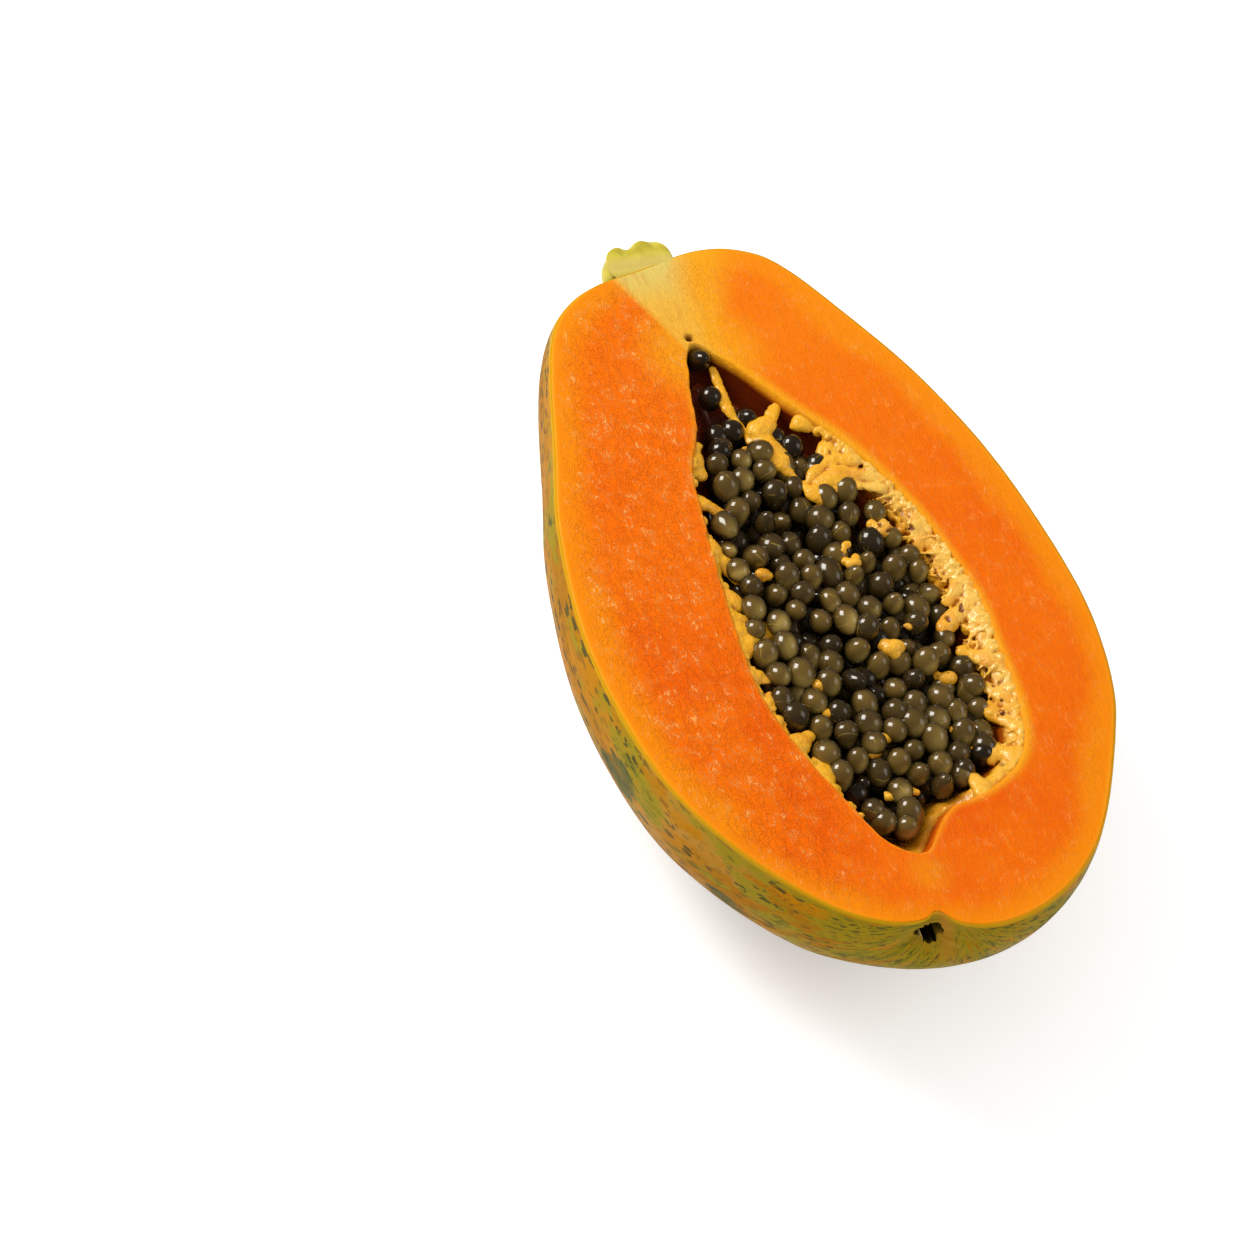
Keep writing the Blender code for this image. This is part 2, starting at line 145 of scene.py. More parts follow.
def crowded(low: float, high: float, middle: float, reach: float, more: float, count: int) -> Array:
    """Numbers from low to high that lie closer together near the middle.

    Args:
        low: the first number.
        high: the last number.
        middle: where they crowd.
        reach: how far from there they crowd.
        more: how many times closer they lie there, over one.
        count: how many numbers.

    Returns:
        The numbers.
    """
    fine = np.linspace(low, high, 4001)
    weight = 1 + more * np.exp(-(((fine - middle) / reach) ** 2))
    run = np.concatenate(([0], np.cumsum(weight[1:])))
    return np.interp(np.linspace(0, run[-1], count), run, fine)


@dataclass
class Outline:
    """A closed outline in plan, with its corners in turn and one centre."""

    corners: Array
    centre: Array

    @classmethod
    def through(cls, points: Sequence[tuple], centre: tuple) -> "Outline":
        """The closed curve through points in millimetres, with corners at even steps, in metres.

        Args:
            points: the points, clockwise.
            centre: the outline's centre, in millimetres.

        Returns:
            The outline, with AROUND corners.
        """
        curve, run = with_run(closed_curve(np.array(points, float), CURVE_STEPS))
        corners = at_runs(curve, run, np.linspace(0, run[-1], AROUND, endpoint=False))
        return cls(corners * MM, np.array(centre) * MM)

    def bearings(self) -> Array:
        """Each corner's bearing from the centre, clockwise from +Y."""
        offset = self.corners - self.centre
        return np.arctan2(offset[:, 0], offset[:, 1])

    def turns_from(self, bearing: float) -> Array:
        """The size of the turn from a bearing to each corner's."""
        return np.abs(np.remainder(self.bearings() - bearing + math.pi, TAU) - math.pi)

    def at(self, share: Array | float) -> Array:
        """The plan points at this share of the way from the centre to each corner."""
        return self.centre + np.reshape(share, (-1, 1)) * (self.corners - self.centre)

    def shares(self, spots: Array) -> Array:
        """How far out each spot lies.

        Args:
            spots: places in plan.

        Returns:
            For each, a share of the outline's reach on its bearing.
        """
        offset = spots - self.centre
        reach = np.linalg.norm(self.corners - self.centre, axis=1)
        bearings = np.arctan2(offset[:, 0], offset[:, 1])
        return np.hypot(*offset.T) / np.interp(bearings, self.bearings(), reach, period=TAU)

    def distances(self, spots: Array) -> Array:
        """How far each spot is from the nearest side of the outline.

        Args:
            spots: places in plan.

        Returns:
            The distances, in metres.
        """
        side = np.roll(self.corners, -1, axis=0) - self.corners
        offset = spots[:, None] - self.corners[None]
        along = np.clip((offset * side).sum(axis=2) / (side**2).sum(axis=1), 0, 1)
        return np.linalg.norm(offset - along[:, :, None] * side[None], axis=2).min(axis=1)

    def inset(self, gap_at: Callable[[float], float]) -> "Outline":
        """The outline moved inwards.

        Args:
            gap_at: gives the gap to leave, in metres, for a bearing.

        Returns:
            The new outline, its corners on the same bearings.
        """
        corners = []
        for corner, bearing in zip(self.corners, self.bearings()):
            ray = self.centre + np.linspace(0, 1, RAY_STEPS)[:, None] * (corner - self.centre)
            corners.append(ray[self.distances(ray) >= gap_at(bearing)][-1])
        return Outline(np.array(corners), self.centre)

    def finer(self) -> "Outline":
        """The same outline with FINER times as many corners, on a smooth curve."""
        return Outline(closed_curve(self.corners, FINER), self.centre)

    def crowded_at(self, bearing: float, reach: float, more: float, count: int) -> "Outline":
        """The same outline with corners that crowd near one bearing.

        Args:
            bearing: where they crowd.
            reach: how far along the outline they do, as a share of it.
            more: how many times closer they lie there, over one.
            count: how many corners in all.

        Returns:
            The new outline.
        """
        curve, run = with_run(closed_curve(self.corners, CROWDED_STEPS))
        middle = run[Outline(curve, self.centre).turns_from(bearing).argmin()] / run[-1]
        steps = crowded(0.0, 1.0, middle, reach, more, count + 1)[:-1] * run[-1]
        return Outline(at_runs(curve, run, steps), self.centre)

    def moved_in(self, gaps: Array | float) -> "Outline":
        """The outline with each corner moved inwards along its own normal.

        Args:
            gaps: how far, in metres, for all or for each.

        Returns:
            The new outline.
        """
        along = np.roll(self.corners, -1, axis=0) - np.roll(self.corners, 1, axis=0)
        normal = np.column_stack([along[:, 1], -along[:, 0]])
        normal /= np.linalg.norm(normal, axis=1)[:, None]
        return Outline(self.corners + np.reshape(gaps, (-1, 1)) * normal, self.centre)


def closed_curve(points: Array, steps: int) -> Array:
    """A smooth closed curve through the points.

    Args:
        points: the points in turn.
        steps: how many new points for each old one.

    Returns:
        The new points, the old ones among them.
    """
    a, b, c, d = (np.roll(points, 1 - k, axis=0)[:, None] for k in range(4))
    t = np.linspace(0, 1, steps, endpoint=False)[None, :, None]
    curve = 2 * b + (c - a) * t + (2 * a - 5 * b + 4 * c - d) * t**2 + (3 * b - a - 3 * c + d) * t**3
    return 0.5 * curve.reshape(-1, points.shape[1])


def with_run(points: Array) -> tuple[Array, Array]:
    """A closed curve with its first point again at the end, and its length so far at each."""
    curve = np.vstack([points, points[:1]])
    return curve, np.concatenate(([0], np.cumsum(np.linalg.norm(np.diff(curve, axis=0), axis=1))))


def at_runs(curve: Array, run: Array, steps: Array) -> Array:
    """The points of a curve in plan after these lengths of its run."""
    return np.column_stack([np.interp(steps, run, curve[:, axis]) for axis in (0, 1)])


def ball_mesh(divisions: int) -> tuple[Array, Array]:
    """A ball one across.

    Args:
        divisions: how finely it is divided.

    Returns:
        Its points, and the point numbers of its faces.
    """
    form = bmesh.new()
    bmesh.ops.create_icosphere(form, subdivisions=divisions, radius=0.5)
    points = np.array([vertex.co for vertex in form.verts])
    faces = np.array([[vertex.index for vertex in face.verts] for face in form.faces])
    form.free()
    return points, faces


def away_from(points: Array, place: Sequence[float], radius: float) -> Array:
    """How far each point is from a place in plan, as a share of a radius."""
    return np.hypot(points[..., 0] - place[0], points[..., 1] - place[1]) / radius


def mesh_piece(name: str, points: Array, faces: list, masks: Masks) -> bpy.types.Object:
    """A smooth-shaded mesh object in the row frame.

    Args:
        name: the piece's name.
        points: its vertices.
        faces: the vertex numbers of each face.
        masks: a value from 0 to 1 or a vector for each vertex, by name, for the material to read.

    Returns:
        The new object.
    """
    mesh = bpy.data.meshes.new(name)
    mesh.from_pydata(points.tolist(), [], faces)
    for label, values in masks.items():
        kind, entry = ("FLOAT", "value") if values.ndim == 1 else ("FLOAT_VECTOR", "vector")
        mesh.attributes.new(label, kind, "POINT").data.foreach_set(entry, values.astype(np.float32).ravel())
    mesh.shade_smooth()
    mesh.update()
    piece = bpy.data.objects.new(name, mesh)
    bpy.context.scene.collection.objects.link(piece)
    return piece


def ring_faces(rings: int, around: int) -> list:
    """The faces of a closed form: rings of points between two poles, which are the last points.

    Args:
        rings: how many rings, from the low pole up.
        around: how many points in each, clockwise.

    Returns:
        The faces, facing outwards.
    """
    grid = np.arange(rings * around).reshape(rings, around)
    after = np.roll(grid, -1, axis=1)
    faces = np.stack([grid[:-1], grid[1:], after[1:], after[:-1]], axis=-1).reshape(-1, 4).tolist()
    low, high = rings * around, rings * around + 1
    faces += [[low, a, b] for a, b in zip(grid[0], after[0])]
    faces += [[high, b, a] for a, b in zip(grid[-1], after[-1])]
    return faces


def ring_piece(
    name: str, rings: list[Array], poles: tuple, masks: Callable[[Array], Masks]
) -> bpy.types.Object:
    """A closed form made of rings, from the low pole up, over and round to the high pole."""
    points = np.vstack([*rings, *[np.reshape(pole, (1, 3)) for pole in poles]])
    return mesh_piece(name, points, ring_faces(len(rings), len(rings[0])), masks(points))


def set_in_frame(piece: bpy.types.Object, material: bpy.types.Material, slot: str, *nodes: str) -> None:
    """Dresses a piece and fixes it in the frame.

    Args:
        piece: the piece.
        material: its finish.
        slot: the record's slot that the finish belongs to.
        nodes: the solids that the piece stands for.
    """
    piece.data.materials.clear()
    piece.data.materials.append(material)
    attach(piece, "root")
    if nodes:
        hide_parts(*nodes)
    triangles = sum(len(face.vertices) - 2 for face in piece.data.polygons)
    log.info("%s: %d triangles, slot %s, stands for %s", piece.name, triangles, slot, nodes or "nothing")


class Wiring:
    """Adds nodes to one node tree and links them."""

    def __init__(self, tree: bpy.types.NodeTree) -> None:
        """Keeps the tree."""
        self.tree = tree

    def put(self, socket: Socket, value: Value | Colour) -> None:
        """Links the socket to another, or sets its value.

        Args:
            socket: the input.
            value: an output to link it to, or a number or a colour.
        """
        if isinstance(value, Socket):
            self.tree.links.new(value, socket)
        elif isinstance(value, tuple) and socket.type == "RGBA":
            socket.default_value = (*value, 1.0)
        else:
            socket.default_value = value

    def node(self, kind: str, inputs: dict | None = None, **settings: object) -> bpy.types.Node:
        """A new node.

        Args:
            kind: Blender's name for it, without ShaderNode.
            inputs: a value or a socket for each input, by name or number.
            settings: the node's own settings.

        Returns:
            The node.
        """
        made = self.tree.nodes.new("ShaderNode" + kind)
        for name, value in settings.items():
            setattr(made, name, value)
        for name, value in (inputs or {}).items():
            self.put(made.inputs[name], value)
        return made

    def math(self, operation: str, first: Value, second: Value = 0.0) -> Socket:
        """One operation on two values."""
        return self.node("Math", {0: first, 1: second}, operation=operation).outputs[0]

    def times(self, first: Value, second: Value) -> Socket:
        """The product of two values."""
        return self.math("MULTIPLY", first, second)

    def plus(self, first: Value, second: Value) -> Socket:
        """The sum of two values."""
        return self.math("ADD", first, second)

    def spread(self, value: Value, reach: float, base: float) -> Socket:
        """The value times a reach, added to a base."""
        return self.node("Math", {0: value, 1: reach, 2: base}, operation="MULTIPLY_ADD").outputs[0]

    def ramp(self, value: Value, low: Value, high: Value) -> Socket:
        """An eased mask: 0 where the value is low, 1 where it is high."""
        inputs = {"Value": value, "From Min": low, "From Max": high}
        return self.node("MapRange", inputs, interpolation_type="SMOOTHSTEP").outputs[0]

    def mix(self, share: Value, first: Socket | Colour, second: Socket | Colour) -> Socket:
        """A mix of two colours.

        Args:
            share: the second colour's share.
            first: the first colour.
            second: the second colour.

        Returns:
            The mixed colour.
        """
        made = self.node("Mix", data_type="RGBA", clamp_factor=True)
        self.put(made.inputs[0], share)
        self.put(made.inputs[6], first)
        self.put(made.inputs[7], second)
        return made.outputs[2]

    def layered(self, colour: Socket | Colour, *layers: tuple[Value, Socket | Colour]) -> Socket:
        """Colours laid over one another.

        Args:
            colour: the lowest.
            layers: the share and the colour of each one above it, in turn.

        Returns:
            The colour of all together.
        """
        for share, over in layers:
            colour = self.mix(share, colour, over)
        return colour

    def mask(self, name: str) -> Socket:
        """A mask that the mesh carries."""
        return self.node("Attribute", attribute_name=name).outputs["Fac"]

    def place(self, stretch: tuple[float, float, float] = (1.0, 1.0, 1.0)) -> Socket:
        """The place on the piece, in metres, times a stretch along each axis."""
        spot = self.node("TexCoord").outputs["Object"]
        return self.node("Mapping", {"Vector": spot, "Scale": stretch}).outputs[0]

    def noise(self, scale: Value, detail: float = 3.0, at: Socket | None = None) -> Socket:
        """Noise from 0 to 1, with the scale as hills in a metre."""
        inputs = {"Vector": at or self.place(), "Scale": scale, "Detail": detail, "Roughness": 0.6}
        return self.node("TexNoise", inputs).outputs[0]

    def effect(self, kind: "Effect", **inputs: Value) -> Socket:
        """The mask of a shared effect, placed with its own inputs by name."""
        return self.node("Group", inputs, node_tree=effect_tree(kind)).outputs[0]


class Effect(Enum):
    """The effects that more than one finish uses."""

    GRAIN = "fibre_grain"
    RIDGES = "wet_ridges"
    PATCHES = "soft_patches"
    PITS = "fine_pits"


def effect_tree(kind: Effect) -> bpy.types.NodeTree:
    """The node group of an effect, built the first time that it is asked for.

    Args:
        kind: which effect.

    Returns:
        The group.
    """
    if kind.value in bpy.data.node_groups:
        return bpy.data.node_groups[kind.value]
    tree = bpy.data.node_groups.new(kind.value, "ShaderNodeTree")
    wires = Wiring(tree)
    inputs, build = {
        Effect.GRAIN: ((("Scale", 900.0), ("Stretch", 0.2)), build_grain),
        Effect.RIDGES: ((("Scale", 350.0), ("Stretch", 0.3), ("Width", 0.05)), build_ridges),
        Effect.PATCHES: ((("Scale", 60.0), ("Low", 0.45), ("High", 0.6)), build_patches),
        Effect.PITS: ((("Scale", 700.0), ("Reach", 0.5)), build_pits),
    }[kind]
    for name, value in inputs:
        socket = tree.interface.new_socket(name, in_out="INPUT", socket_type="NodeSocketFloat")
        socket.default_value = value
    tree.interface.new_socket("Mask", in_out="OUTPUT", socket_type="NodeSocketFloat")
    entry = tree.nodes.new("NodeGroupInput")
    leave = tree.nodes.new("NodeGroupOutput")
    wires.put(leave.inputs["Mask"], build(wires, entry))
    return tree


def drawn_out(wires: Wiring, stretch: Socket) -> Socket:
    """The place on the piece, changed so that noise runs along the fruit.

    Args:
        wires: the group's wiring.
        stretch: what its Y is multiplied by.

    Returns:
        The changed place.
    """
    parts = wires.node("SeparateXYZ", {0: wires.node("TexCoord").outputs["Object"]})
    along = wires.times(parts.outputs["Y"], stretch)
    return wires.node("CombineXYZ", {"X": parts.outputs["X"], "Y": along, "Z": parts.outputs["Z"]}).outputs[0]


def build_grain(wires: Wiring, entry: bpy.types.Node) -> Socket:
    """Fibres along the fruit: noise drawn out along Y."""
    return wires.noise(entry.outputs["Scale"], 4.0, drawn_out(wires, entry.outputs["Stretch"]))


def build_ridges(wires: Wiring, entry: bpy.types.Node) -> Socket:
    """Thin winding crests along the fruit.

    Args:
        wires: the group's wiring.
        entry: the group's inputs.

    Returns:
        A mask, 1 on each crest and 0 between them.
    """
    spot = drawn_out(wires, entry.outputs["Stretch"])
    inputs = {"Vector": spot, "Scale": entry.outputs["Scale"], "Detail": 2.0, "Distortion": 0.5}
    cloud = wires.node("TexNoise", inputs).outputs[0]
    off = wires.math("ABSOLUTE", wires.math("SUBTRACT", cloud, 0.5))
    return wires.ramp(off, entry.outputs["Width"], 0.0)


def build_patches(wires: Wiring, entry: bpy.types.Node) -> Socket:
    """Soft patches with an eased edge."""
    return wires.ramp(wires.noise(entry.outputs["Scale"]), entry.outputs["Low"], entry.outputs["High"])


def build_pits(wires: Wiring, entry: bpy.types.Node) -> Socket:
    """Small round pits: 0 in the middle of each and 1 between them."""
    cells = wires.node("TexVoronoi", {"Vector": wires.place(), "Scale": entry.outputs["Scale"]})
    return wires.ramp(cells.outputs["Distance"], 0.0, entry.outputs["Reach"])


@dataclass(frozen=True)
class Gloss:
    """How glossy and how uneven a surface is."""

    roughness: float
    coat: float = 0.0
    coat_roughness: float = 0.1
    specular: float = 0.5
    tint: Colour = (1.0, 1.0, 1.0)
    bump: float = 0.3
    bump_depth: float = 0.3 * MM


@dataclass(frozen=True)
class Finish:
    """A finish: a surface of colour, height and roughness, and how glossy it is."""

    name: str
    gloss: Gloss

    def surface(self, wires: Wiring) -> Surface:
        """The colour, the height and the roughness, which each finish lays in its own way."""
        raise NotImplementedError(self.name)

    def material(self) -> bpy.types.Material:
        """The finish as a material with one Principled shader.

        Returns:
            The material.
        """
        material = bpy.data.materials.new(self.name)
        material.use_nodes = True
        wires = Wiring(material.node_tree)
        shader = material.node_tree.nodes["Principled BSDF"]
        colour, height, roughness = self.surface(wires)
        gloss = self.gloss
        bump = wires.node("Bump", {"Height": height, "Strength": gloss.bump, "Distance": gloss.bump_depth})
        inputs = {
            "Base Color": colour, "Roughness": roughness, "Normal": bump.outputs[0],
            "Coat Weight": gloss.coat, "Coat Roughness": gloss.coat_roughness,
            "Specular IOR Level": gloss.specular, "Specular Tint": gloss.tint,
        }
        for socket, value in inputs.items():
            wires.put(shader.inputs[socket], value)
        return material


@dataclass(frozen=True)
class FleshFinish(Finish):
    """Bright orange flesh: yellow at the rind, deep orange in the middle, a pale core."""

    name: str = "papaya_flesh"
    orange: Colour = (0.72, 0.122, 0.001)
    deep: Colour = (0.67, 0.078, 0.0005)
    light: Colour = (0.74, 0.205, 0.002)
    yellow: Colour = (0.73, 0.32, 0.010)
    cream: Colour = (0.66, 0.37, 0.045)
    core: Colour = (0.58, 0.43, 0.10)
    # Painted shade colour: dark red-brown laid on the hollow's wall below its edge and in the small hole past
    # its tip.
    wall: Colour = (0.105, 0.012, 0.0015)
    fibre: Colour = (0.52, 0.25, 0.050)
    # Painted highlight colour for the wet glints.
    painted_glint: Colour = (0.95, 0.47, 0.13)
    speck: Colour = (0.25, 0.09, 0.02)
    gloss: Gloss = Gloss(0.32, specular=0.18, tint=(1.0, 0.55, 0.15), bump=0.6, bump_depth=0.4 * MM)

    def surface(self, wires: Wiring) -> Surface:
        """Clouds of deeper orange, fibres along the fruit, and wet glints over them, painted as highlights in
        the colour on crests that the bump also raises.

        Args:
            wires: the material's wiring.

        Returns:
            The colour, the height and the roughness.
        """
        grain = wires.effect(Effect.GRAIN, Scale=700.0, Stretch=0.22)
        fine = wires.effect(Effect.GRAIN, Scale=2200.0, Stretch=0.35)
        crests = wires.effect(Effect.RIDGES, Scale=520.0, Stretch=0.42, Width=0.030)
        small = wires.effect(Effect.RIDGES, Scale=1000.0, Stretch=0.5, Width=0.035)
        clouds = wires.effect(Effect.PATCHES, Scale=45.0, Low=0.35, High=0.68)
        torn = wires.effect(Effect.PATCHES, Scale=260.0, Low=0.46, High=0.66)
        pits = wires.effect(Effect.PITS, Scale=420.0, Reach=0.16)
        ridges = wires.math("MAXIMUM", crests, wires.times(small, 0.7))
        # Painted highlight: pale streaks on the crests where the wet mask is high, laid into the colour as
        # wet glints.
        glints = wires.times(wires.times(ridges, torn), wires.mask("wet"))
        veined = wires.layered(
            self.cream,
            (wires.mask("stemward"), self.core),
            (wires.times(wires.ramp(grain, 0.5, 0.68), 0.4), self.fibre),
            (wires.times(wires.ramp(pits, 0.9, 0.3), 0.5), self.speck),
        )
        colour = wires.layered(
            self.orange,
            (wires.times(wires.mask("deep"), clouds), self.deep),
            (wires.times(wires.mask("light"), 0.9), self.light),
            (wires.times(wires.ramp(grain, 0.52, 0.72), 0.30), self.light),
            (wires.mask("yellow"), self.yellow),
            (wires.times(glints, 0.62), self.painted_glint),
            (wires.mask("cream"), veined),
            # Painted shade on the hollow's wall.
            (wires.mask("wall"), self.wall),
        )
        fibres = wires.plus(grain, wires.times(fine, 0.55))
        height = wires.plus(fibres, wires.times(ridges, wires.mask("wet")))
        return colour, height, wires.spread(wires.ramp(fine, 0.35, 0.65), -0.14, self.gloss.roughness + 0.06)


@dataclass(frozen=True)
class RindFinish(Finish):
    """Ripe rind: yellow orange with olive patches, elongated dark green specks and a tan scar."""

    name: str = "papaya_rind"
    yellow: Colour = (0.38, 0.150, 0.001)
    ochre: Colour = (0.30, 0.120, 0.002)
    pinkish: Colour = (0.37, 0.190, 0.034)
    olive: Colour = (0.235, 0.180, 0.006)
    green: Colour = (0.115, 0.112, 0.006)
    deep_green: Colour = (0.070, 0.082, 0.022)
    dark: Colour = (0.035, 0.040, 0.012)
    # Painted shade colour for the underside, which grows darker towards the floor.
    under: Colour = (0.105, 0.064, 0.008)
    lip: Colour = (0.50, 0.25, 0.004)
    tan: Colour = (0.34, 0.15, 0.014)
    frill: Colour = (0.66, 0.46, 0.16)
    # Painted shade colour: near black inside the torn hole at the blossom end.
    hole: Colour = (0.005, 0.003, 0.001)
    speck_scale: float = 560.0
    gloss: Gloss = Gloss(0.50, specular=0.02, tint=(1.0, 0.8, 0.4), bump=0.25, bump_depth=0.25 * MM)

    def specks(self, wires: Wiring, skin: Socket, scale: float, share: float) -> Socket:
        """Specks of uneven outline.

        Args:
            wires: the material's wiring.
            skin: the place on the skin, drawn out along the fruit.
            scale: how many cells in a metre.
            share: the share of the cells that hold one.

        Returns:
            A mask, 1 in the specks.
        """
        cloud = wires.node("TexNoise", {"Vector": skin, "Scale": scale * 1.3, "Detail": 2.0}).outputs["Color"]
        sway = wires.node("VectorMath", {0: cloud, "Scale": 1.2 / scale}, operation="SCALE").outputs[0]
        moved = wires.node("VectorMath", {0: skin, 1: sway}, operation="ADD").outputs[0]
        cells = wires.node("TexVoronoi", {"Vector": moved, "Scale": scale})
        draws = wires.node("SeparateColor", {0: cells.outputs["Color"]})
        reach = wires.times(wires.ramp(draws.outputs[0], 1.0 - share, 1.0), 0.56)
        return wires.ramp(wires.math("SUBTRACT", reach, cells.outputs["Distance"]), 0.0, 0.12)

    def surface(self, wires: Wiring) -> Surface:
        """Ochre clouds, pinkish and green patches, then specks and what the masks add, painted shade on the
        underside and in the torn hole among them.

        Args:
            wires: the material's wiring.

        Returns:
            The colour, the height and the roughness.
        """
        skin = wires.node("Attribute", attribute_name="meridian").outputs["Vector"]
        drawn = wires.node("Mapping", {"Vector": skin, "Scale": (1.0, 1.0, 0.4)}).outputs[0]
        clouds = wires.ramp(wires.noise(50.0, 3.0, drawn), 0.42, 0.60)
        rosy = wires.times(wires.ramp(wires.noise(90.0, 4.0, drawn), 0.46, 0.60), wires.mask("rosy"))
        leafy = wires.noise(180.0, 6.0, drawn)
        greener = wires.plus(leafy, wires.times(wires.mask("green"), 0.22))
        patch = wires.plus(wires.mask("patch"), wires.times(wires.math("SUBTRACT", leafy, 0.5), 2.2))
        big = self.specks(wires, drawn, self.speck_scale, 0.95)
        tiny = self.specks(wires, drawn, self.speck_scale * 1.8, 0.9)
        crowd = wires.plus(0.45, wires.times(wires.ramp(wires.noise(80.0, 3.0, drawn), 0.40, 0.54), 0.55))
        marks = wires.times(wires.math("MAXIMUM", big, wires.times(tiny, 0.6)), crowd)
        colour = wires.layered(
            self.yellow,
            (clouds, self.ochre),
            (wires.times(rosy, 0.8), self.pinkish),
            (wires.times(wires.ramp(greener, 0.50, 0.66), 0.85), self.olive),
            (wires.times(wires.ramp(greener, 0.68, 0.84), 0.8), self.green),
            (wires.times(wires.ramp(patch, 0.45, 0.80), 0.85), self.deep_green),
            (wires.times(marks, 0.85), self.dark),
            # Painted shade on the underside.
            (wires.mask("under"), self.under),
            (wires.mask("lip"), self.lip),
            (wires.mask("tan"), self.tan),
            # Painted shade in the torn hole, which the scar mask carries.
            (wires.mask("scar"), self.hole),
            (wires.mask("frill"), self.frill),
        )
        pores = wires.effect(Effect.PITS, Scale=900.0, Reach=0.5)
        height = wires.plus(wires.times(pores, 0.4), wires.noise(420.0))
        height = wires.math("SUBTRACT", height, wires.times(marks, 0.25))
        return colour, height, wires.spread(clouds, 0.12, self.gloss.roughness - 0.06)


@dataclass(frozen=True)
class PulpFinish(Finish):
    """Wet yellow pulp, paler where it is spongy, with dark red painted shade in its pits, crevices and
    depths.
    """

    name: str = "papaya_pulp"
    golden: Colour = (0.74, 0.35, 0.012)
    orange: Colour = (0.66, 0.20, 0.004)
    cream: Colour = (0.73, 0.415, 0.068)
    warm: Colour = (0.72, 0.285, 0.030)
    # Painted shade colour, laid in crevices and further under the cut.
    deep: Colour = (0.34, 0.055, 0.001)
    # Painted shade colour: near-black red in the pits and pores and deep down.
    pit: Colour = (0.10, 0.008, 0.001)
    gloss: Gloss = Gloss(
        0.24, coat=0.25, coat_roughness=0.08, specular=0.5, tint=(1.0, 0.85, 0.55), bump=0.5,
        bump_depth=0.35 * MM,
    )

    def surface(self, wires: Wiring) -> Surface:
        """Golden and orange patches, paler where the cream mask is, with painted shade deeper in the crevices
        and further down.

        Args:
            wires: the material's wiring.

        Returns:
            The colour, the height and the roughness.
        """
        patches = wires.effect(Effect.PATCHES, Scale=170.0, Low=0.45, High=0.7)
        warm = wires.effect(Effect.PATCHES, Scale=210.0, Low=0.48, High=0.62)
        grain = wires.effect(Effect.GRAIN, Scale=1100.0, Stretch=0.5)
        crests = wires.effect(Effect.RIDGES, Scale=900.0, Stretch=0.6, Width=0.06)
        pits = wires.effect(Effect.PITS, Scale=620.0, Reach=0.55)
        colour = wires.layered(
            self.golden,
            (wires.times(patches, 0.6), self.orange),
            (wires.mask("cream"), wires.mix(wires.times(warm, 0.75), self.cream, self.warm)),
            (wires.times(wires.ramp(grain, 0.55, 0.35), 0.35), self.golden),
            (wires.mask("painted_recess_shade"), self.deep),
            # Painted shade in the pits.
            (wires.mask("pit"), self.pit),
        )
        height = wires.plus(wires.plus(grain, wires.times(pits, 0.5)), wires.times(crests, 0.5))
        return colour, height, wires.spread(grain, 0.2, self.gloss.roughness - 0.08)


@dataclass(frozen=True)
class SeedFinish(Finish):
    """Seeds in their gel coats: dark on one side, olive on the other, with a painted glow of light through
    the gel there.
    """

    name: str = "papaya_seeds"
    dark: Colour = (0.014, 0.008, 0.003)
    olive: Colour = (0.130, 0.075, 0.013)
    # Painted light colour: the glow of light through the gel on the side away from the key light.
    pale: Colour = (0.38, 0.255, 0.060)
    gel: Colour = (0.46, 0.30, 0.045)
    seam_width: float = 0.05
    gloss: Gloss = Gloss(
        0.20, coat=0.55, coat_roughness=0.06, specular=0.4, tint=(1.0, 0.93, 0.8), bump=0.12,
        bump_depth=0.2 * MM,
    )

    def surface(self, wires: Wiring) -> Surface:
        """Each seed's tone, darkened by painted shade, a side with a painted glow, a thin broken seam and a
        dark rim.

        Args:
            wires: the material's wiring.

        Returns:
            The colour, the height and the roughness.
        """
        cloud = wires.noise(420.0)
        tone = wires.plus(wires.mask("tone"), wires.times(cloud, 0.3))
        off = wires.math("ABSOLUTE", wires.mask("seam"))
        seam = wires.ramp(off, self.seam_width, self.seam_width * 0.3)
        seam = wires.times(seam, wires.ramp(cloud, 0.42, 0.6))
        rim = wires.ramp(wires.node("LayerWeight", {"Blend": 0.5}).outputs["Facing"], 0.12, 0.75)
        colour = wires.layered(
            wires.mix(wires.ramp(tone, 0.1, 1.05), self.dark, self.olive),
            # Painted light: the glow through the gel on each seed's far side.
            (wires.times(wires.mask("clear"), wires.ramp(tone, 0.35, 1.0)), self.pale),
            (wires.times(seam, 0.45), self.gel),
            (wires.times(rim, 0.85), self.dark),
        )
        height = wires.plus(wires.noise(900.0), wires.times(seam, 1.5))
        return colour, height, wires.spread(cloud, 0.14, self.gloss.roughness - 0.08)


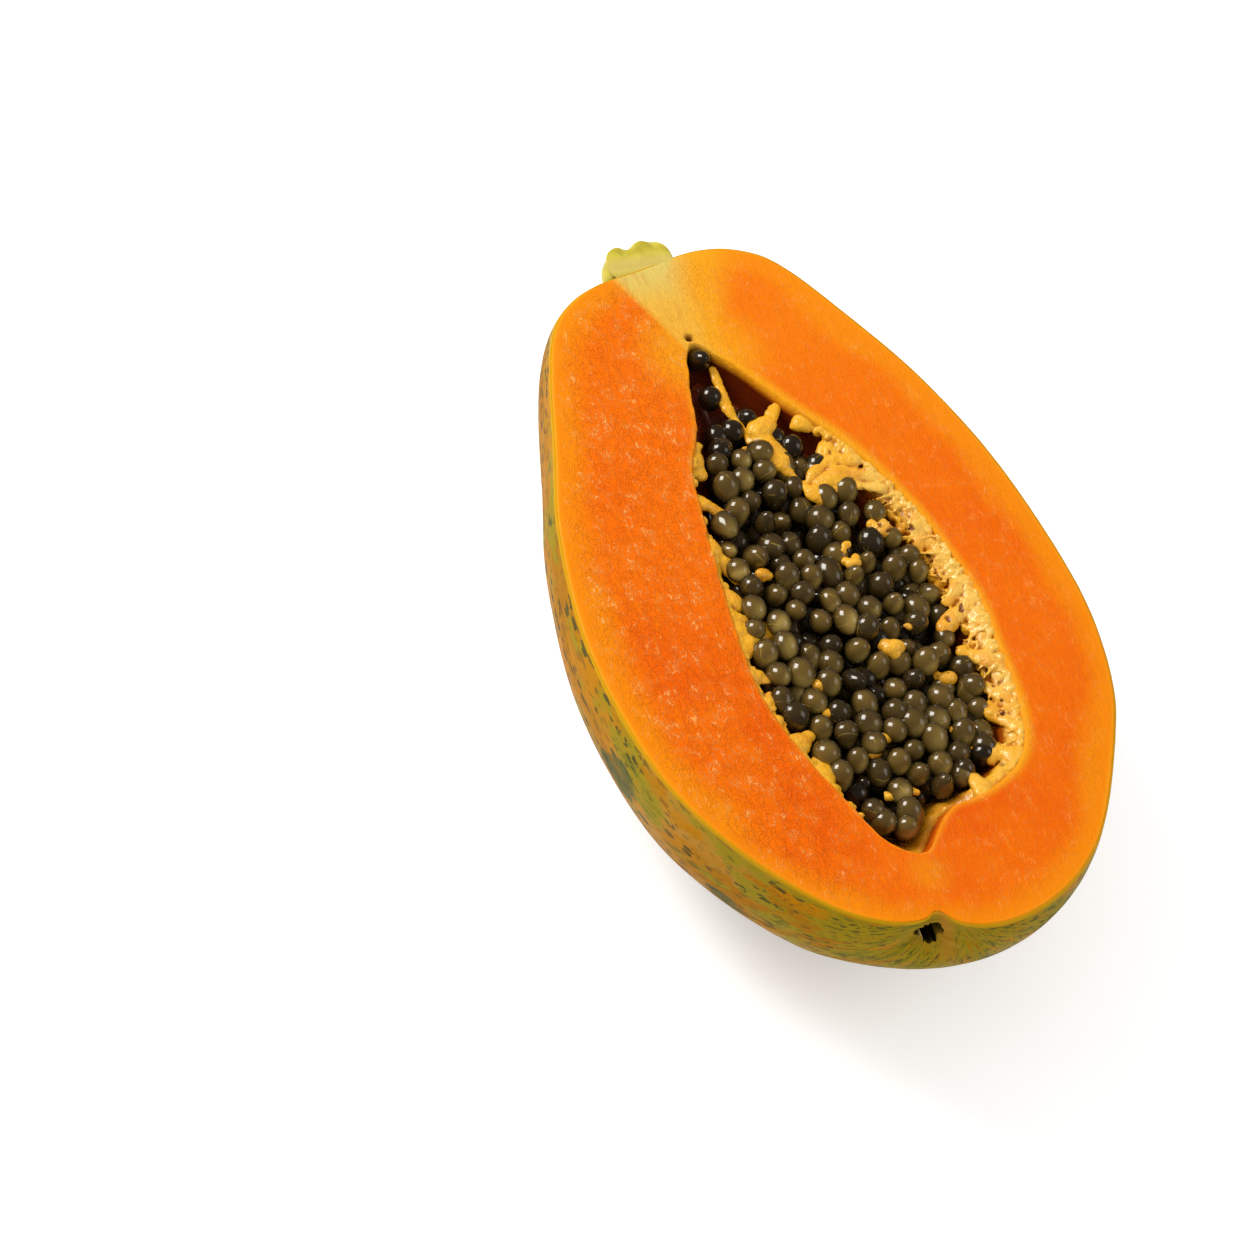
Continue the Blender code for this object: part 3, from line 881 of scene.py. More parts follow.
@dataclass(frozen=True)
class StemFinish(Finish):
    """The stub of the stem: pale yellow green, creamier where it is cut."""

    name: str = "papaya_stem"
    green: Colour = (0.50, 0.41, 0.040)
    shade: Colour = (0.38, 0.30, 0.022)
    cream: Colour = (0.58, 0.43, 0.10)
    # Painted shade colour for the creases.
    painted_crease_shade: Colour = (0.10, 0.060, 0.006)
    gloss: Gloss = Gloss(0.42, coat=0.04, coat_roughness=0.3, specular=0.15, bump=0.25, bump_depth=0.25 * MM)

    def surface(self, wires: Wiring) -> Surface:
        """Green clouds, a cut end with fibres in it, and painted shade in the creases.

        Args:
            wires: the material's wiring.

        Returns:
            The colour, the height and the roughness.
        """
        clouds = wires.effect(Effect.PATCHES, Scale=190.0, Low=0.4, High=0.66)
        grain = wires.effect(Effect.GRAIN, Scale=1300.0, Stretch=0.3)
        cut = wires.mix(wires.times(wires.ramp(grain, 0.5, 0.7), 0.5), self.cream, self.green)
        colour = wires.layered(
            self.green, (clouds, self.shade), (wires.mask("cream"), cut), (wires.mask("painted_crease_shade"), self.painted_crease_shade)
        )
        return colour, grain, wires.plus(wires.times(grain, 0.15), self.gloss.roughness - 0.08)


@dataclass(frozen=True)
class FloorFinish(Finish):
    """A plain pale floor, lit a little from within as a light table is."""

    name: str = "pale_floor"
    pale: Colour = (0.86, 0.86, 0.86)
    paler: Colour = (0.89, 0.89, 0.89)
    glow: float = 0.32
    gloss: Gloss = Gloss(0.7, specular=0.1, bump=0.02)

    def surface(self, wires: Wiring) -> Surface:
        """Faint clouds in the colour, the height and the roughness."""
        cloud = wires.noise(40.0)
        return wires.mix(cloud, self.pale, self.paler), cloud, wires.plus(cloud, 0.3)

    def material(self) -> bpy.types.Material:
        """The finish as a material, with its glow.

        Returns:
            The material.
        """
        material = super().material()
        shader = material.node_tree.nodes["Principled BSDF"]
        shader.inputs["Emission Color"].default_value = (1.0, 1.0, 1.0, 1.0)
        shader.inputs["Emission Strength"].default_value = self.glow
        return material


@dataclass
class FruitForm:
    """The outlines and surfaces that all the pieces share."""

    fit: float = 0.9985
    scar_place: tuple[float, float] = (-10.3 * MM, CUT_HEIGHT - 6.5 * MM)
    scar_dent: float = 4.6 * MM
    scar_spread: float = 8.0 * MM
    stem_place: tuple[float, float] = (-8.7 * MM, CUT_HEIGHT - 1.0 * MM)
    stem_dent: float = 3.6 * MM
    stem_spread: float = 13.0 * MM
    notch_place: tuple[float, float] = (-9.4 * MM, CUT_HEIGHT + 1.0 * MM)
    notch_dent: float = 2.6 * MM
    notch_spread: tuple[float, float] = (2.7 * MM, 5.0 * MM)
    end_region: float = 80.0 * MM
    gap: float = 0.4 * MM
    pulp_thick: float = 2.6 * MM
    pulp_bias: float = 0.8
    pulp_thin: float = 1.2 * MM
    seed_wall_space: float = 3.6 * MM
    coarse_mouth: Outline = field(init=False)
    cut: Outline = field(init=False)
    mouth: Outline = field(init=False)

    def __post_init__(self) -> None:
        """Draws the hollow's outline, coarse and fine, and the cut's."""
        self.coarse_mouth = Outline.through(HOLLOW_OUTLINE, HOLLOW_CENTRE)
        self.mouth = self.coarse_mouth.finer()
        self.cut = Outline.through(CUT_OUTLINE, BODY_CENTRE).finer()
        self.cut.corners = self.cut.centre + self.fit * (self.cut.corners - self.cut.centre)

    def pulp_thickness(self, bearing: float) -> float:
        """Thickness of the lining on a bearing: most on the right wall, least on the left."""
        share = smooth_step(0.5 + self.pulp_bias * math.sin(bearing))
        return self.pulp_thin + (self.pulp_thick - self.pulp_thin) * share

    def pulp_back(self) -> Outline:
        """The lining's outer outline."""
        return self.coarse_mouth.inset(lambda bearing: self.gap)

    def inside_lining(self, gap: float) -> Outline:
        """The outline that leaves this gap besides the lining's thickness."""
        return self.coarse_mouth.inset(lambda bearing: gap + self.pulp_thickness(bearing))

    def room(self) -> Outline:
        """The outline that the heap fills."""
        return self.inside_lining(2 * self.gap)

    def outside(self, lift: float, skin: float = 0.0, cut: Outline | None = None) -> Array:
        """A ring of the body's outside.

        Args:
            lift: the angle on the dome, 0 at its widest and -90 degrees at the bottom.
            skin: how far inside the outside to stay.
            cut: the outline to use, if not the shared one.

        Returns:
            The ring's points.
        """
        plan = (cut or self.cut).moved_in(skin).at(math.cos(lift) / math.cos(TOP_LIFT))
        height = CUT_HEIGHT - CUT_ABOVE_WIDEST + (BODY_DEPTH - skin) * math.sin(lift)
        return self.dented(np.column_stack([plan, np.full(len(plan), height)]))

    def dented(self, points: Array) -> Array:
        """The points moved inwards at the blossom scar, at the notch above it and at the stem.

        Args:
            points: places on the body's plain outside, which are changed.

        Returns:
            The same points.
        """
        for place, depth, spread, side in (
            (self.scar_place, self.scar_dent, (self.scar_spread, self.scar_spread), -1),
            (self.notch_place, self.notch_dent, self.notch_spread, -1),
            (self.stem_place, self.stem_dent, (self.stem_spread, self.stem_spread), 1),
        ):
            away = np.hypot((points[:, 0] - place[0]) / spread[0], (points[:, 2] - place[1]) / spread[1])
            here = side * points[:, 1] > self.end_region
            points[:, 1] -= np.where(here, side * depth * np.exp(-away * away), 0)
        return points

    def scar_away(self, points: Array) -> Array:
        """How far each point is from the middle of the blossom scar, in metres."""
        away = np.hypot(points[:, 0] - self.scar_place[0], points[:, 2] - self.scar_place[1])
        return np.where(points[:, 1] < -self.end_region, away, 1.0)

    def behind_hole(self, ring: Array, push: float, spread: float) -> Array:
        """A ring moved away from the torn hole in the rind, so that it stays behind it."""
        ring[:, 1] += push * smooth_step(1.9 - self.scar_away(ring) / spread)
        return ring

    def inward(self, ring: Array) -> Array:
        """The level direction from each point to the middle of the hollow, with a length of 1."""
        way = self.mouth.centre - ring[:, :2]
        return way / np.linalg.norm(way, axis=1)[:, None]

    def bowl(self, outline: Outline, depth: float, lift: Array | float) -> Array:
        """A ring of a bowl under an outline, from a lift of 0 at its rim to -90 degrees below.

        Args:
            outline: the bowl's outline at its rim.
            depth: how deep the bowl is.
            lift: the angle on the bowl, for all or for each corner.

        Returns:
            The ring's points.
        """
        plan = outline.at(np.cos(lift))
        height = CUT_HEIGHT + depth * np.sin(lift) * np.ones(len(plan))
        return np.column_stack([plan, height])


@dataclass
class Flesh:
    """The flesh: its hidden outside, the cut face, the edge of the hollow and the hollow's wall."""

    form: FruitForm
    skin: float = 0.45 * MM
    outside_rings: int = 12
    face_rings: int = 52
    wall_rings: int = 22
    right_edge: float = 1.5 * MM
    left_edge: float = 0.5 * MM
    streak_from: tuple[float, float] = (-10.0 * MM, 97.0 * MM)
    streak_to: tuple[float, float] = (-4.4 * MM, 69.0 * MM)
    tip_hole: tuple[float, float] = (-4.7 * MM, 72.6 * MM)
    tip_hole_radius: float = 0.9 * MM
    tip_hole_depth: float = 1.6 * MM
    wall_relief: float = 0.35 * MM
    wall_most: float = 0.2 * MM
    rim_dip: float = 0.02 * MM
    hidden_gap: float = 0.4 * MM
    hole_push: float = 9.0 * MM
    hole_spread: float = 4.2 * MM
    pole_height: float = 1.5 * MM
    pale_tip: tuple[float, float] = (-3 * MM, 68 * MM)
    pale_tip_radius: float = 15 * MM
    pale_end: tuple[float, float] = (-7 * MM, -88 * MM)
    pale_end_radius: float = 6.5 * MM
    skin_band: float = 1.5 * MM
    light_band: float = 9 * MM
    mask_parts: int = 80

    def ragged_mouth(self) -> Outline:
        """The hollow's edge, torn most along its left side.

        Returns:
            The torn outline.
        """
        mouth = self.form.mouth
        spots = np.column_stack([mouth.corners, np.zeros(len(mouth.corners))])
        left = smooth_step(0.5 - np.sin(mouth.bearings()))
        tears = 0.55 * rough(spots, 7 * MM, 3) + 0.45 * rough(spots, 2.2 * MM, 4)
        return mouth.moved_in(tears * MM * (0.45 + 0.5 * left))

    def edge_radius(self, mouth: Outline) -> Array:
        """How round the hollow's edge is at each corner: softest on the right."""
        right = smooth_step(0.5 + 0.8 * np.sin(mouth.bearings()))
        return self.left_edge + (self.right_edge - self.left_edge) * right

    def relief(self, points: Array) -> Array:
        """The cut face's height at each point, over the level of the cut.

        Args:
            points: places on the cut face.

        Returns:
            The heights, in metres.
        """
        left = smooth_step((8 * MM - points[:, 0]) / (30 * MM))
        flat = points * np.array([1.0, 1.0, 0.0])
        fibres = ripple(flat, (1.1 * MM, 4.0 * MM, 1.0), 5) + 0.6 * ripple(flat, (0.8 * MM, 1.9 * MM, 1.0), 6)
        waves = 0.10 * rough(flat, 14 * MM, 8, 2)
        return (waves + fibres * (0.035 + 0.075 * left)) * MM

    def tip_pit(self, points: Array) -> Array:
        """A mask of the small hole just past the hollow's narrow tip."""
        return smooth_step(1.6 - away_from(points, self.tip_hole, self.tip_hole_radius))

    def face(self, mouth: Outline) -> list[Array]:
        """The rings of the cut face, from the rind to the hollow.

        Args:
            mouth: the hollow's edge.

        Returns:
            The rings.
        """
        rim = self.form.outside(TOP_LIFT, self.skin)
        hollow = np.column_stack([mouth.corners, np.full(len(rim), CUT_HEIGHT)])
        reach = np.linalg.norm(hollow - rim, axis=1)
        radius = self.edge_radius(mouth)
        rings = []
        for k in range(self.face_rings + 1):
            share = k / self.face_rings
            share = share + 0.16 * math.sin(math.pi * share) * share
            ring = rim + (hollow - rim) * share
            left_over = np.clip(1 - (1 - share) * reach / radius, 0, 1)
            ring[:, 2] = CUT_HEIGHT - radius * (1 - np.sqrt(1 - left_over**2))
            near_rim = smooth_step(share * 14)
            ring[:, 2] += self.relief(ring) * near_rim - self.rim_dip * (1 - near_rim)
            ring[:, 2] -= self.tip_hole_depth * self.tip_pit(ring)
            rings.append(ring)
        return rings

    def wall(self, mouth: Outline) -> list[Array]:
        """The rings of the hollow's wall, from its edge down.

        Args:
            mouth: the hollow's edge.

        Returns:
            The rings.
        """
        start = -np.arcsin(self.edge_radius(mouth) / HOLLOW_DEPTH)
        rings = []
        for k in range(1, self.wall_rings):
            lift = start + (-0.5 * math.pi - start) * k / self.wall_rings
            ring = self.form.bowl(mouth, HOLLOW_DEPTH, lift)
            bumps = np.minimum(self.wall_relief * rough(ring, 3.5 * MM, 11), self.wall_most)
            ring[:, :2] += self.form.inward(ring) * bumps[:, None] * min(1.0, k / 3)
            rings.append(ring)
        return rings

    def masks(self, points: Array) -> Masks:
        """The masks that the flesh's finish reads.

        Args:
            points: the piece's points.

        Returns:
            The masks by name, each with a value for every point.
        """
        plan = points[:, :2]
        parts = np.array_split(plan, self.mask_parts)
        rind = np.concatenate([self.form.cut.distances(part) for part in parts])
        hollow = np.concatenate([self.form.mouth.distances(part) for part in parts])
        depth = np.clip(CUT_HEIGHT - points[:, 2], 0, None)
        wander = rough(points, 18 * MM, 21)
        right = smooth_step((plan[:, 0] + 12 * MM) / (34 * MM))
        left = smooth_step((4 * MM - plan[:, 0] + 0.15 * plan[:, 1]) / (34 * MM))
        top = smooth_step((plan[:, 1] - 10 * MM) / (70 * MM))
        low_left = smooth_step((-20 * MM - plan[:, 1] - 0.6 * plan[:, 0]) / (60 * MM))
        streak, halo = self.streak(plan, wander)
        tip = smooth_step(1.4 - away_from(plan, self.pale_tip, self.pale_tip_radius))
        below = smooth_step(1.2 - away_from(plan, self.pale_end, self.pale_end_radius))
        skin = smooth_step(1.15 - rind / self.skin_band + 0.25 * wander)
        light = smooth_step(1.25 - rind / self.light_band + 0.4 * wander)
        edge = smooth_step(1.15 - (hollow / MM) / (1.2 + 1.7 * right + 1.4 * top) + 0.25 * wander)
        edge = edge * (1 - smooth_step((depth / MM - 0.8) / 2.0))
        inside = self.form.mouth.shares(plan) < 1.0
        narrow = smooth_step((plan[:, 1] - 30 * MM) / (14 * MM))
        low_end = smooth_step((-60 * MM - plan[:, 1]) / (7 * MM))
        # Painted shade: the hollow's wall darkens with depth under the cut, faster at the narrow tip, and the
        # tip's small hole is painted dark too.
        wall = np.where(inside, smooth_step((depth / MM - 0.7) / (3.6 - 1.6 * narrow)), 0)
        wall = np.maximum(wall * (1 - 0.75 * low_end), self.tip_pit(points))
        # The wet mask places the painted glints: most on the left half, none on the core streak or the
        # hollow's wall.
        wet = (0.34 + 0.66 * left) * (1 - 0.8 * streak) * (1 - wall) * smooth_step(rind / (6 * MM))
        ripe = edge * (0.35 + 0.40 * right + 0.2 * top)
        masks = {
            "deep": 0.35 + 0.75 * low_left + 0.3 * wander - 0.35 * top,
            "light": np.maximum(light, 0.75 * tip) + 0.35 * top * right + 0.15 * wander,
            "yellow": np.maximum.reduce([0.6 * skin, ripe, halo, 0.5 * tip, 0.3 * below]),
            "cream": np.where(inside & (depth > 0.5 * MM), 0, streak),
            "stemward": smooth_step((plan[:, 1] - 82 * MM) / (14 * MM)),
            "wall": wall,
            "wet": wet,
        }
        return {name: np.clip(mask, 0, 1) for name, mask in masks.items()}

    def streak(self, plan: Array, wander: Array) -> tuple[Array, Array]:
        """The pale core that runs from the stem to the hollow's tip.

        Args:
            plan: places in plan.
            wander: relief that makes its edge uneven.

        Returns:
            A mask of the streak, and one of the yellow halo round it.
        """
        start, way = np.array(self.streak_from), np.array(self.streak_to) - np.array(self.streak_from)
        run = np.clip((plan - start) @ way / (way @ way), -0.2, 1.15)
        width = (10.5 - 7.0 * np.clip(run, 0, 1)) * MM
        away = plan - (start + run[:, None] * way)
        side = np.sign(away[:, 1] * way[0] - away[:, 0] * way[1])
        off = np.linalg.norm(away, axis=1) / width * (1.15 - 0.35 * side) + 0.15 * wander
        streak = smooth_step((1.35 - off) * (1.5 - 0.5 * side)) * (1 - 0.5 * smooth_step(run * 1.2 - 0.2))
        stem = np.hypot((plan[:, 0] - self.form.stem_place[0]) / 9.0, (plan[:, 1] - 99.0 * MM) / 9.0) / MM
        halo = smooth_step(1.9 - off * (1.0 - 0.3 * side)) * 0.8
        return np.maximum(streak, smooth_step(2.6 - 2.0 * stem)), halo

    def build(self, finish: FleshFinish) -> None:
        """Builds the flesh and dresses it.

        Args:
            finish: its finish.
        """
        mouth = self.ragged_mouth()
        lifts = np.linspace(BOTTOM_LIFT + 0.12, TOP_LIFT - 0.05, self.outside_rings)
        hidden = [self.form.outside(lift, self.skin + self.hidden_gap) for lift in lifts]
        rings = [self.form.behind_hole(ring, self.hole_push, self.hole_spread) for ring in hidden]
        rings += self.face(mouth) + self.wall(mouth)
        low = (*self.form.cut.centre, self.pole_height)
        high = (*mouth.centre, CUT_HEIGHT - HOLLOW_DEPTH)
        piece = ring_piece("flesh_body", rings, (low, high), self.masks)
        set_in_frame(piece, finish.material(), "flesh", "flesh")


@dataclass
class Rind:
    """The rind: a thin skin with a yellow lip at the cut, folds and a torn hole at the blossom end."""

    form: FruitForm
    thickness: float = 0.75 * MM
    around: int = 680
    rings: int = 116
    inner_rings: int = 14
    crowd_more: float = 6.0
    crowd_share: float = 0.018
    crowd_lift: float = 0.13
    hole_radius: float = 2.75 * MM
    hole_depth: float = 5.5 * MM
    hole_edge_width: float = 0.16
    half_length: float = 104.0 * MM
    half_width: float = 60.0 * MM
    hole_push: float = 8.0 * MM
    hole_spread: float = 3.6 * MM
    fold_count: int = 9
    fold_height: float = 0.30 * MM
    notch_fold_height: float = 0.6 * MM
    dip: float = 0.10 * MM
    fine_dip: float = 0.03 * MM
    rim_drop: float = 0.15 * MM
    dark_patches: tuple = (
        (-60.0, -36.0, 42.0, 5.0, 9.0, 7.0), (10.0, -98.0, 42.0, 8.0, 8.0, 5.0),
        (-46.0, -72.0, 36.0, 8.0, 7.0, 5.0), (55.0, 30.0, 38.0, 10.0, 13.0, 8.0),
        (20.0, 92.0, 30.0, 12.0, 12.0, 8.0),
    )

    def from_scar(self, points: Array) -> tuple[Array, Array, Array]:
        """Each point's place across and above the blossom scar, and its turn round it."""
        x, z = points[:, 0] - self.form.scar_place[0], points[:, 2] - self.form.scar_place[1]
        return x, z, np.arctan2(z, x)

    def hole_share(self, points: Array) -> Array:
        """How far each point is from the middle of the torn hole.

        Args:
            points: places on the rind.

        Returns:
            For each, a share of the hole's reach on its side.
        """
        _, _, turn = self.from_scar(points)
        ragged = 1 + 0.24 * np.cos(3 * turn - 2.5) + 0.08 * np.sin(7 * turn) + 0.05 * np.sin(13 * turn)
        ragged += 0.07 * ripple(points, 0.7 * MM, 57)
        return self.form.scar_away(points) / (self.hole_radius * ragged)

    def hole_edge(self, points: Array) -> Array:
        """How deep in the torn hole each point is: 0 outside it and 1 well inside."""
        return smooth_step((1.05 - self.hole_share(points)) / self.hole_edge_width)

    def shreds(self, points: Array) -> Array:
        """A mask of the pale shreds in the hole and along its lower left edge.

        Args:
            points: places on the rind.

        Returns:
            A value from 0 to 1 for each.
        """
        x, z, turn = self.from_scar(points)
        x, z = x / MM, z / MM
        share = self.hole_share(points)
        rim = np.exp(-(((turn + 2.1) / 0.45) ** 2)) * np.exp(-(((share - 1.03) / 0.09) ** 2))
        bit = 0.7 * np.exp(-(((x - 0.2) / 0.35) ** 2) - ((z + 1.2) / 0.55) ** 2)
        return np.clip(rim + 0.4 * bit * (share < 1.2), 0, 1)

    def fold(self, points: Array) -> Array:
        """A mask of the tan fold that runs down from the notch, beside the hole.

        Args:
            points: places on the rind.

        Returns:
            A value from 0 to 1 for each.
        """
        below = CUT_HEIGHT - points[:, 2]
        middle = self.form.notch_place[0] + 0.9 * MM + 0.30 * below
        off = (points[:, 0] - middle) / (1.5 * MM + 0.06 * below)
        near = self.form.scar_away(points) < 1.0
        return np.where(near, np.exp(-off * off) * smooth_step(1.5 - below / (14 * MM)), 0)

    def weathered(self, ring: Array) -> Array:
        """A ring of the outside with the skin's slight unevenness, folds and hole.

        Args:
            ring: the ring, which is changed.

        Returns:
            The same ring.
        """
        away = self.form.scar_away(ring)
        _, _, turn = self.from_scar(ring)
        folds = np.cos(self.fold_count * turn + 1.5 * np.sin(3 * turn)) * smooth_step(away / (3 * MM))
        folds *= np.exp(-((away / (10 * MM)) ** 2)) * (1 - 0.7 * smooth_step(np.sin(turn) * 2))
        dips = self.dip * (1 + rough(ring, 16 * MM, 41, 2)) + self.fine_dip * (1 + ripple(ring, 2.5 * MM, 42))
        ring[:, :2] += self.form.inward(ring) * dips[:, None]
        ring[:, 1] += self.fold_height * folds
        ring[:, 1] -= self.notch_fold_height * self.fold(ring)
        ring[:, 1] += self.hole_depth * self.hole_edge(ring) * (1 - 0.45 * self.shreds(ring))
        return ring

    def masks(self, points: Array) -> Masks:
        """The masks that the rind's finish reads.

        Args:
            points: the piece's points.

        Returns:
            The masks by name, each with a value or a place for every point.
        """
        wander = rough(points, 22 * MM, 51)
        below = (CUT_HEIGHT - points[:, 2]) / MM
        away = self.form.scar_away(points) / MM
        blossom = smooth_step((-66 * MM - points[:, 1]) / (34 * MM) + 0.7 * wander) * 0.75
        patches = []
        for x, y, z, *size in self.dark_patches:
            off = np.linalg.norm((points / MM - np.array([x, y, z])) / np.array(size), axis=1)
            patches.append(smooth_step(1.4 - off + 0.5 * wander))
        shoulder = smooth_step((points[:, 1] - 74 * MM) / (24 * MM) + 0.4 * wander) * 0.45
        stray = smooth_step(wander * 2.2 - 0.35)
        # Painted shade: the mask for the torn hole's inside, which is painted near black.
        hole = smooth_step((1.10 - self.hole_share(points)) / 0.05)
        around_hole = smooth_step(1.8 - away / 3.2) * 0.35
        shreds = self.shreds(points)
        rosy = smooth_step((-22 * MM - points[:, 1]) / (26 * MM))
        rosy = rosy * (1 - smooth_step((-86 * MM - points[:, 1]) / (9 * MM)))
        return {
            "green": np.clip(np.maximum.reduce([blossom, shoulder, 0.75 * stray]), 0, 1),
            "patch": np.maximum.reduce(patches),
            "rosy": rosy * smooth_step((points[:, 2] - 14 * MM) / (14 * MM)),
            # Painted shade: the rind darkens towards the bottom, where it faces the floor.
            "under": 0.85 * smooth_step((27 * MM - points[:, 2]) / (20 * MM) + 0.3 * wander),
            "lip": 0.9 * smooth_step(1.25 - below / 1.0 + 0.3 * wander),
            "tan": np.clip(np.maximum(0.8 * self.fold(points), around_hole), 0, 1) * (1 - hole),
            "scar": hole,
            "frill": smooth_step(shreds * 1.6 - 0.5),
            "meridian": self.meridian(points),
        }

    def meridian(self, points: Array) -> Array:
        """Each point's place on the skin, for textures that run from end to end.

        Args:
            points: places on the rind.

        Returns:
            For each, its side of the fruit as two numbers, and how far along it lies.
        """
        x, y = points[:, 0] - self.form.scar_place[0] * 0.5, points[:, 1] - self.form.cut.centre[1]
        z = points[:, 2] - CUT_HEIGHT
        off = np.maximum(np.hypot(x, z), 1e-6)
        along = self.half_length * np.arctan2(y / self.half_length, off / self.half_width)
        return np.column_stack([self.half_width * x / off, self.half_width * z / off, along])

    def build(self, finish: RindFinish) -> None:
        """Builds the rind and dresses it.

        Args:
            finish: its finish.
        """
        x, z = self.form.scar_place
        centre = self.form.cut.centre
        bearing = math.atan2(x - centre[0], self.form.cut.corners[:, 1].min() - centre[1])
        cut = self.form.cut.crowded_at(bearing, self.crowd_share, self.crowd_more, self.around)
        level = math.asin((z - CUT_HEIGHT + CUT_ABOVE_WIDEST) / BODY_DEPTH)
        lifts = crowded(BOTTOM_LIFT, TOP_LIFT, level, self.crowd_lift, self.crowd_more, self.rings)
        rings = [self.weathered(self.form.outside(lift, 0.0, cut)) for lift in lifts]
        rim = rings[-1]
        inner_rim = self.form.outside(TOP_LIFT, self.thickness, cut)
        rim[:, 2] -= self.rim_drop
        lip = rim + (inner_rim - rim) * 0.25
        lip[:, 2] = CUT_HEIGHT
        rings += [lip, inner_rim]
        for lift in np.linspace(TOP_LIFT, BOTTOM_LIFT, self.inner_rings)[1:]:
            inner = self.form.outside(lift, self.thickness, cut)
            rings.append(self.form.behind_hole(inner, self.hole_push, self.hole_spread))
        piece = ring_piece("rind_skin", rings, ((*centre, 0.0), (*centre, self.thickness)), self.masks)
        set_in_frame(piece, finish.material(), "rind")


@dataclass
class PulpLining:
    """The spongy lining of the hollow, thickest on the right wall and full of small holes there."""

    form: FruitForm
    floor: float = 2.0 * MM
    rim_drop: float = 1.5 * MM
    rim_slope: float = 1.1 * MM
    rim_swell: float = 0.35 * MM
    outer_overlap: float = 0.35 * MM
    pit_depth: float = 0.9 * MM
    sway: float = 0.4 * MM
    headroom: float = 0.15 * MM
    low_parts: tuple = ((-6.0, 17.0, 9.0), (-168.0, 13.0, 6.5))
    back_rings: int = 8
    rim_rings: int = 12
    front_rings: int = 34

    def rim_lift(self, mouth: Outline) -> Array:
        """The angle on the bowl where the lining ends, lower round the hollow's two narrow ends.

        Args:
            mouth: the hollow's outline.

        Returns:
            An angle for each of its corners.
        """
        drop = np.full(len(mouth.corners), self.rim_drop)
        for bearing, width, depth in self.low_parts:
            away = mouth.turns_from(math.radians(bearing))
            drop += (depth * MM - self.rim_drop) * smooth_step(2 - away / math.radians(width))
        return -np.arcsin(drop / HOLLOW_DEPTH)

    def pitted(self, ring: Array, share: float) -> Array:
        """The ring with sponge relief and small holes pressed into it.

        Args:
            ring: the ring, which is changed.
            share: how much of the relief it gets, from 0 to 1.

        Returns:
            The same ring.
        """
        bumps = 0.6 * rough(ring, 2.6 * MM, 61) + 0.35 * rough(ring, 1.1 * MM, 62, 2)
        move = bumps * MM * share - self.pit_depth * self.holes(ring) * share
        ring[:, :2] += self.form.inward(ring) * move[:, None]
        ring[:, 2] += self.sway * share * rough(ring, 1.8 * MM, 63)
        ring[:, 2] = np.minimum(ring[:, 2], CUT_HEIGHT - self.headroom)
        return ring

    def holes(self, points: Array) -> Array:
        """Small holes between the pulp's fibres, which are pressed in and painted dark as shade."""
        return smooth_step((ripple(points, (1.7 * MM, 2.2 * MM, 1.3 * MM), 71) - 0.42) / 0.25)

    def masks(self, points: Array) -> Masks:
        """The masks that the pulp's finish reads.

        Args:
            points: the piece's points.

        Returns:
            The masks by name, each with a value for every point.
        """
        plan = points[:, :2]
        depth = (CUT_HEIGHT - points[:, 2]) / MM
        right = smooth_step((plan[:, 0] - 14 * MM) / (16 * MM))
        wander = rough(points, 6 * MM, 72)
        cream = right * smooth_step(1.2 - depth / 4.0) + 0.2 * wander
        low_end = 1 - 0.8 * smooth_step((-60 * MM - plan[:, 1]) / (7 * MM))
        # Painted shade: darker red further under the cut.
        painted_recess_shade = smooth_step((depth - 1.6) / 3.2 + 0.3 * wander) * low_end
        # Painted shade: the pits, and all the lining deeper than 5 mm, are painted dark.
        deep = smooth_step((depth - 5.0) / 5.0)
        pit = np.maximum(self.holes(points) * smooth_step(depth / 0.8), deep) * low_end
        return {"cream": np.clip(cream, 0, 1), "painted_recess_shade": np.clip(painted_recess_shade, 0, 1), "pit": pit}

    def build(self, finish: PulpFinish) -> None:
        """Builds the lining and dresses it.

        Args:
            finish: its finish.
        """
        mouth = self.form.mouth
        back = self.form.pulp_back().finer()
        front = self.form.inside_lining(self.form.gap).finer()
        rim = self.rim_lift(mouth)
        low = -0.5 * math.pi
        depth = HOLLOW_DEPTH - self.form.gap
        rings = []
        for k in range(1, self.back_rings + 1):
            rings.append(self.form.bowl(back, depth, low + (rim - low) * k / self.back_rings))
        outer = self.form.bowl(mouth.moved_in(-self.outer_overlap), HOLLOW_DEPTH, rim)
        inner = self.form.bowl(front, depth - self.floor, rim)
        for k in range(self.rim_rings):
            share = k / (self.rim_rings - 1)
            ring = outer + (inner - outer) * share
            ring[:, 2] -= self.rim_slope * share**2 - self.rim_swell * math.sin(math.pi * share)
            rings.append(self.pitted(ring, smooth_step(share * 3)))
        step_down = self.rim_slope / (depth - self.floor)
        for k in range(1, self.front_rings):
            lift = (rim - step_down) + (low - rim + step_down) * k / self.front_rings
            rings.append(self.pitted(self.form.bowl(front, depth - self.floor, lift), 1.0))
        poles = ((*mouth.centre, CUT_HEIGHT - depth), (*mouth.centre, CUT_HEIGHT - depth + self.floor))
        piece = ring_piece("pulp_lining", rings, poles, self.masks)
        set_in_frame(piece, finish.material(), "pulp", "pulp")


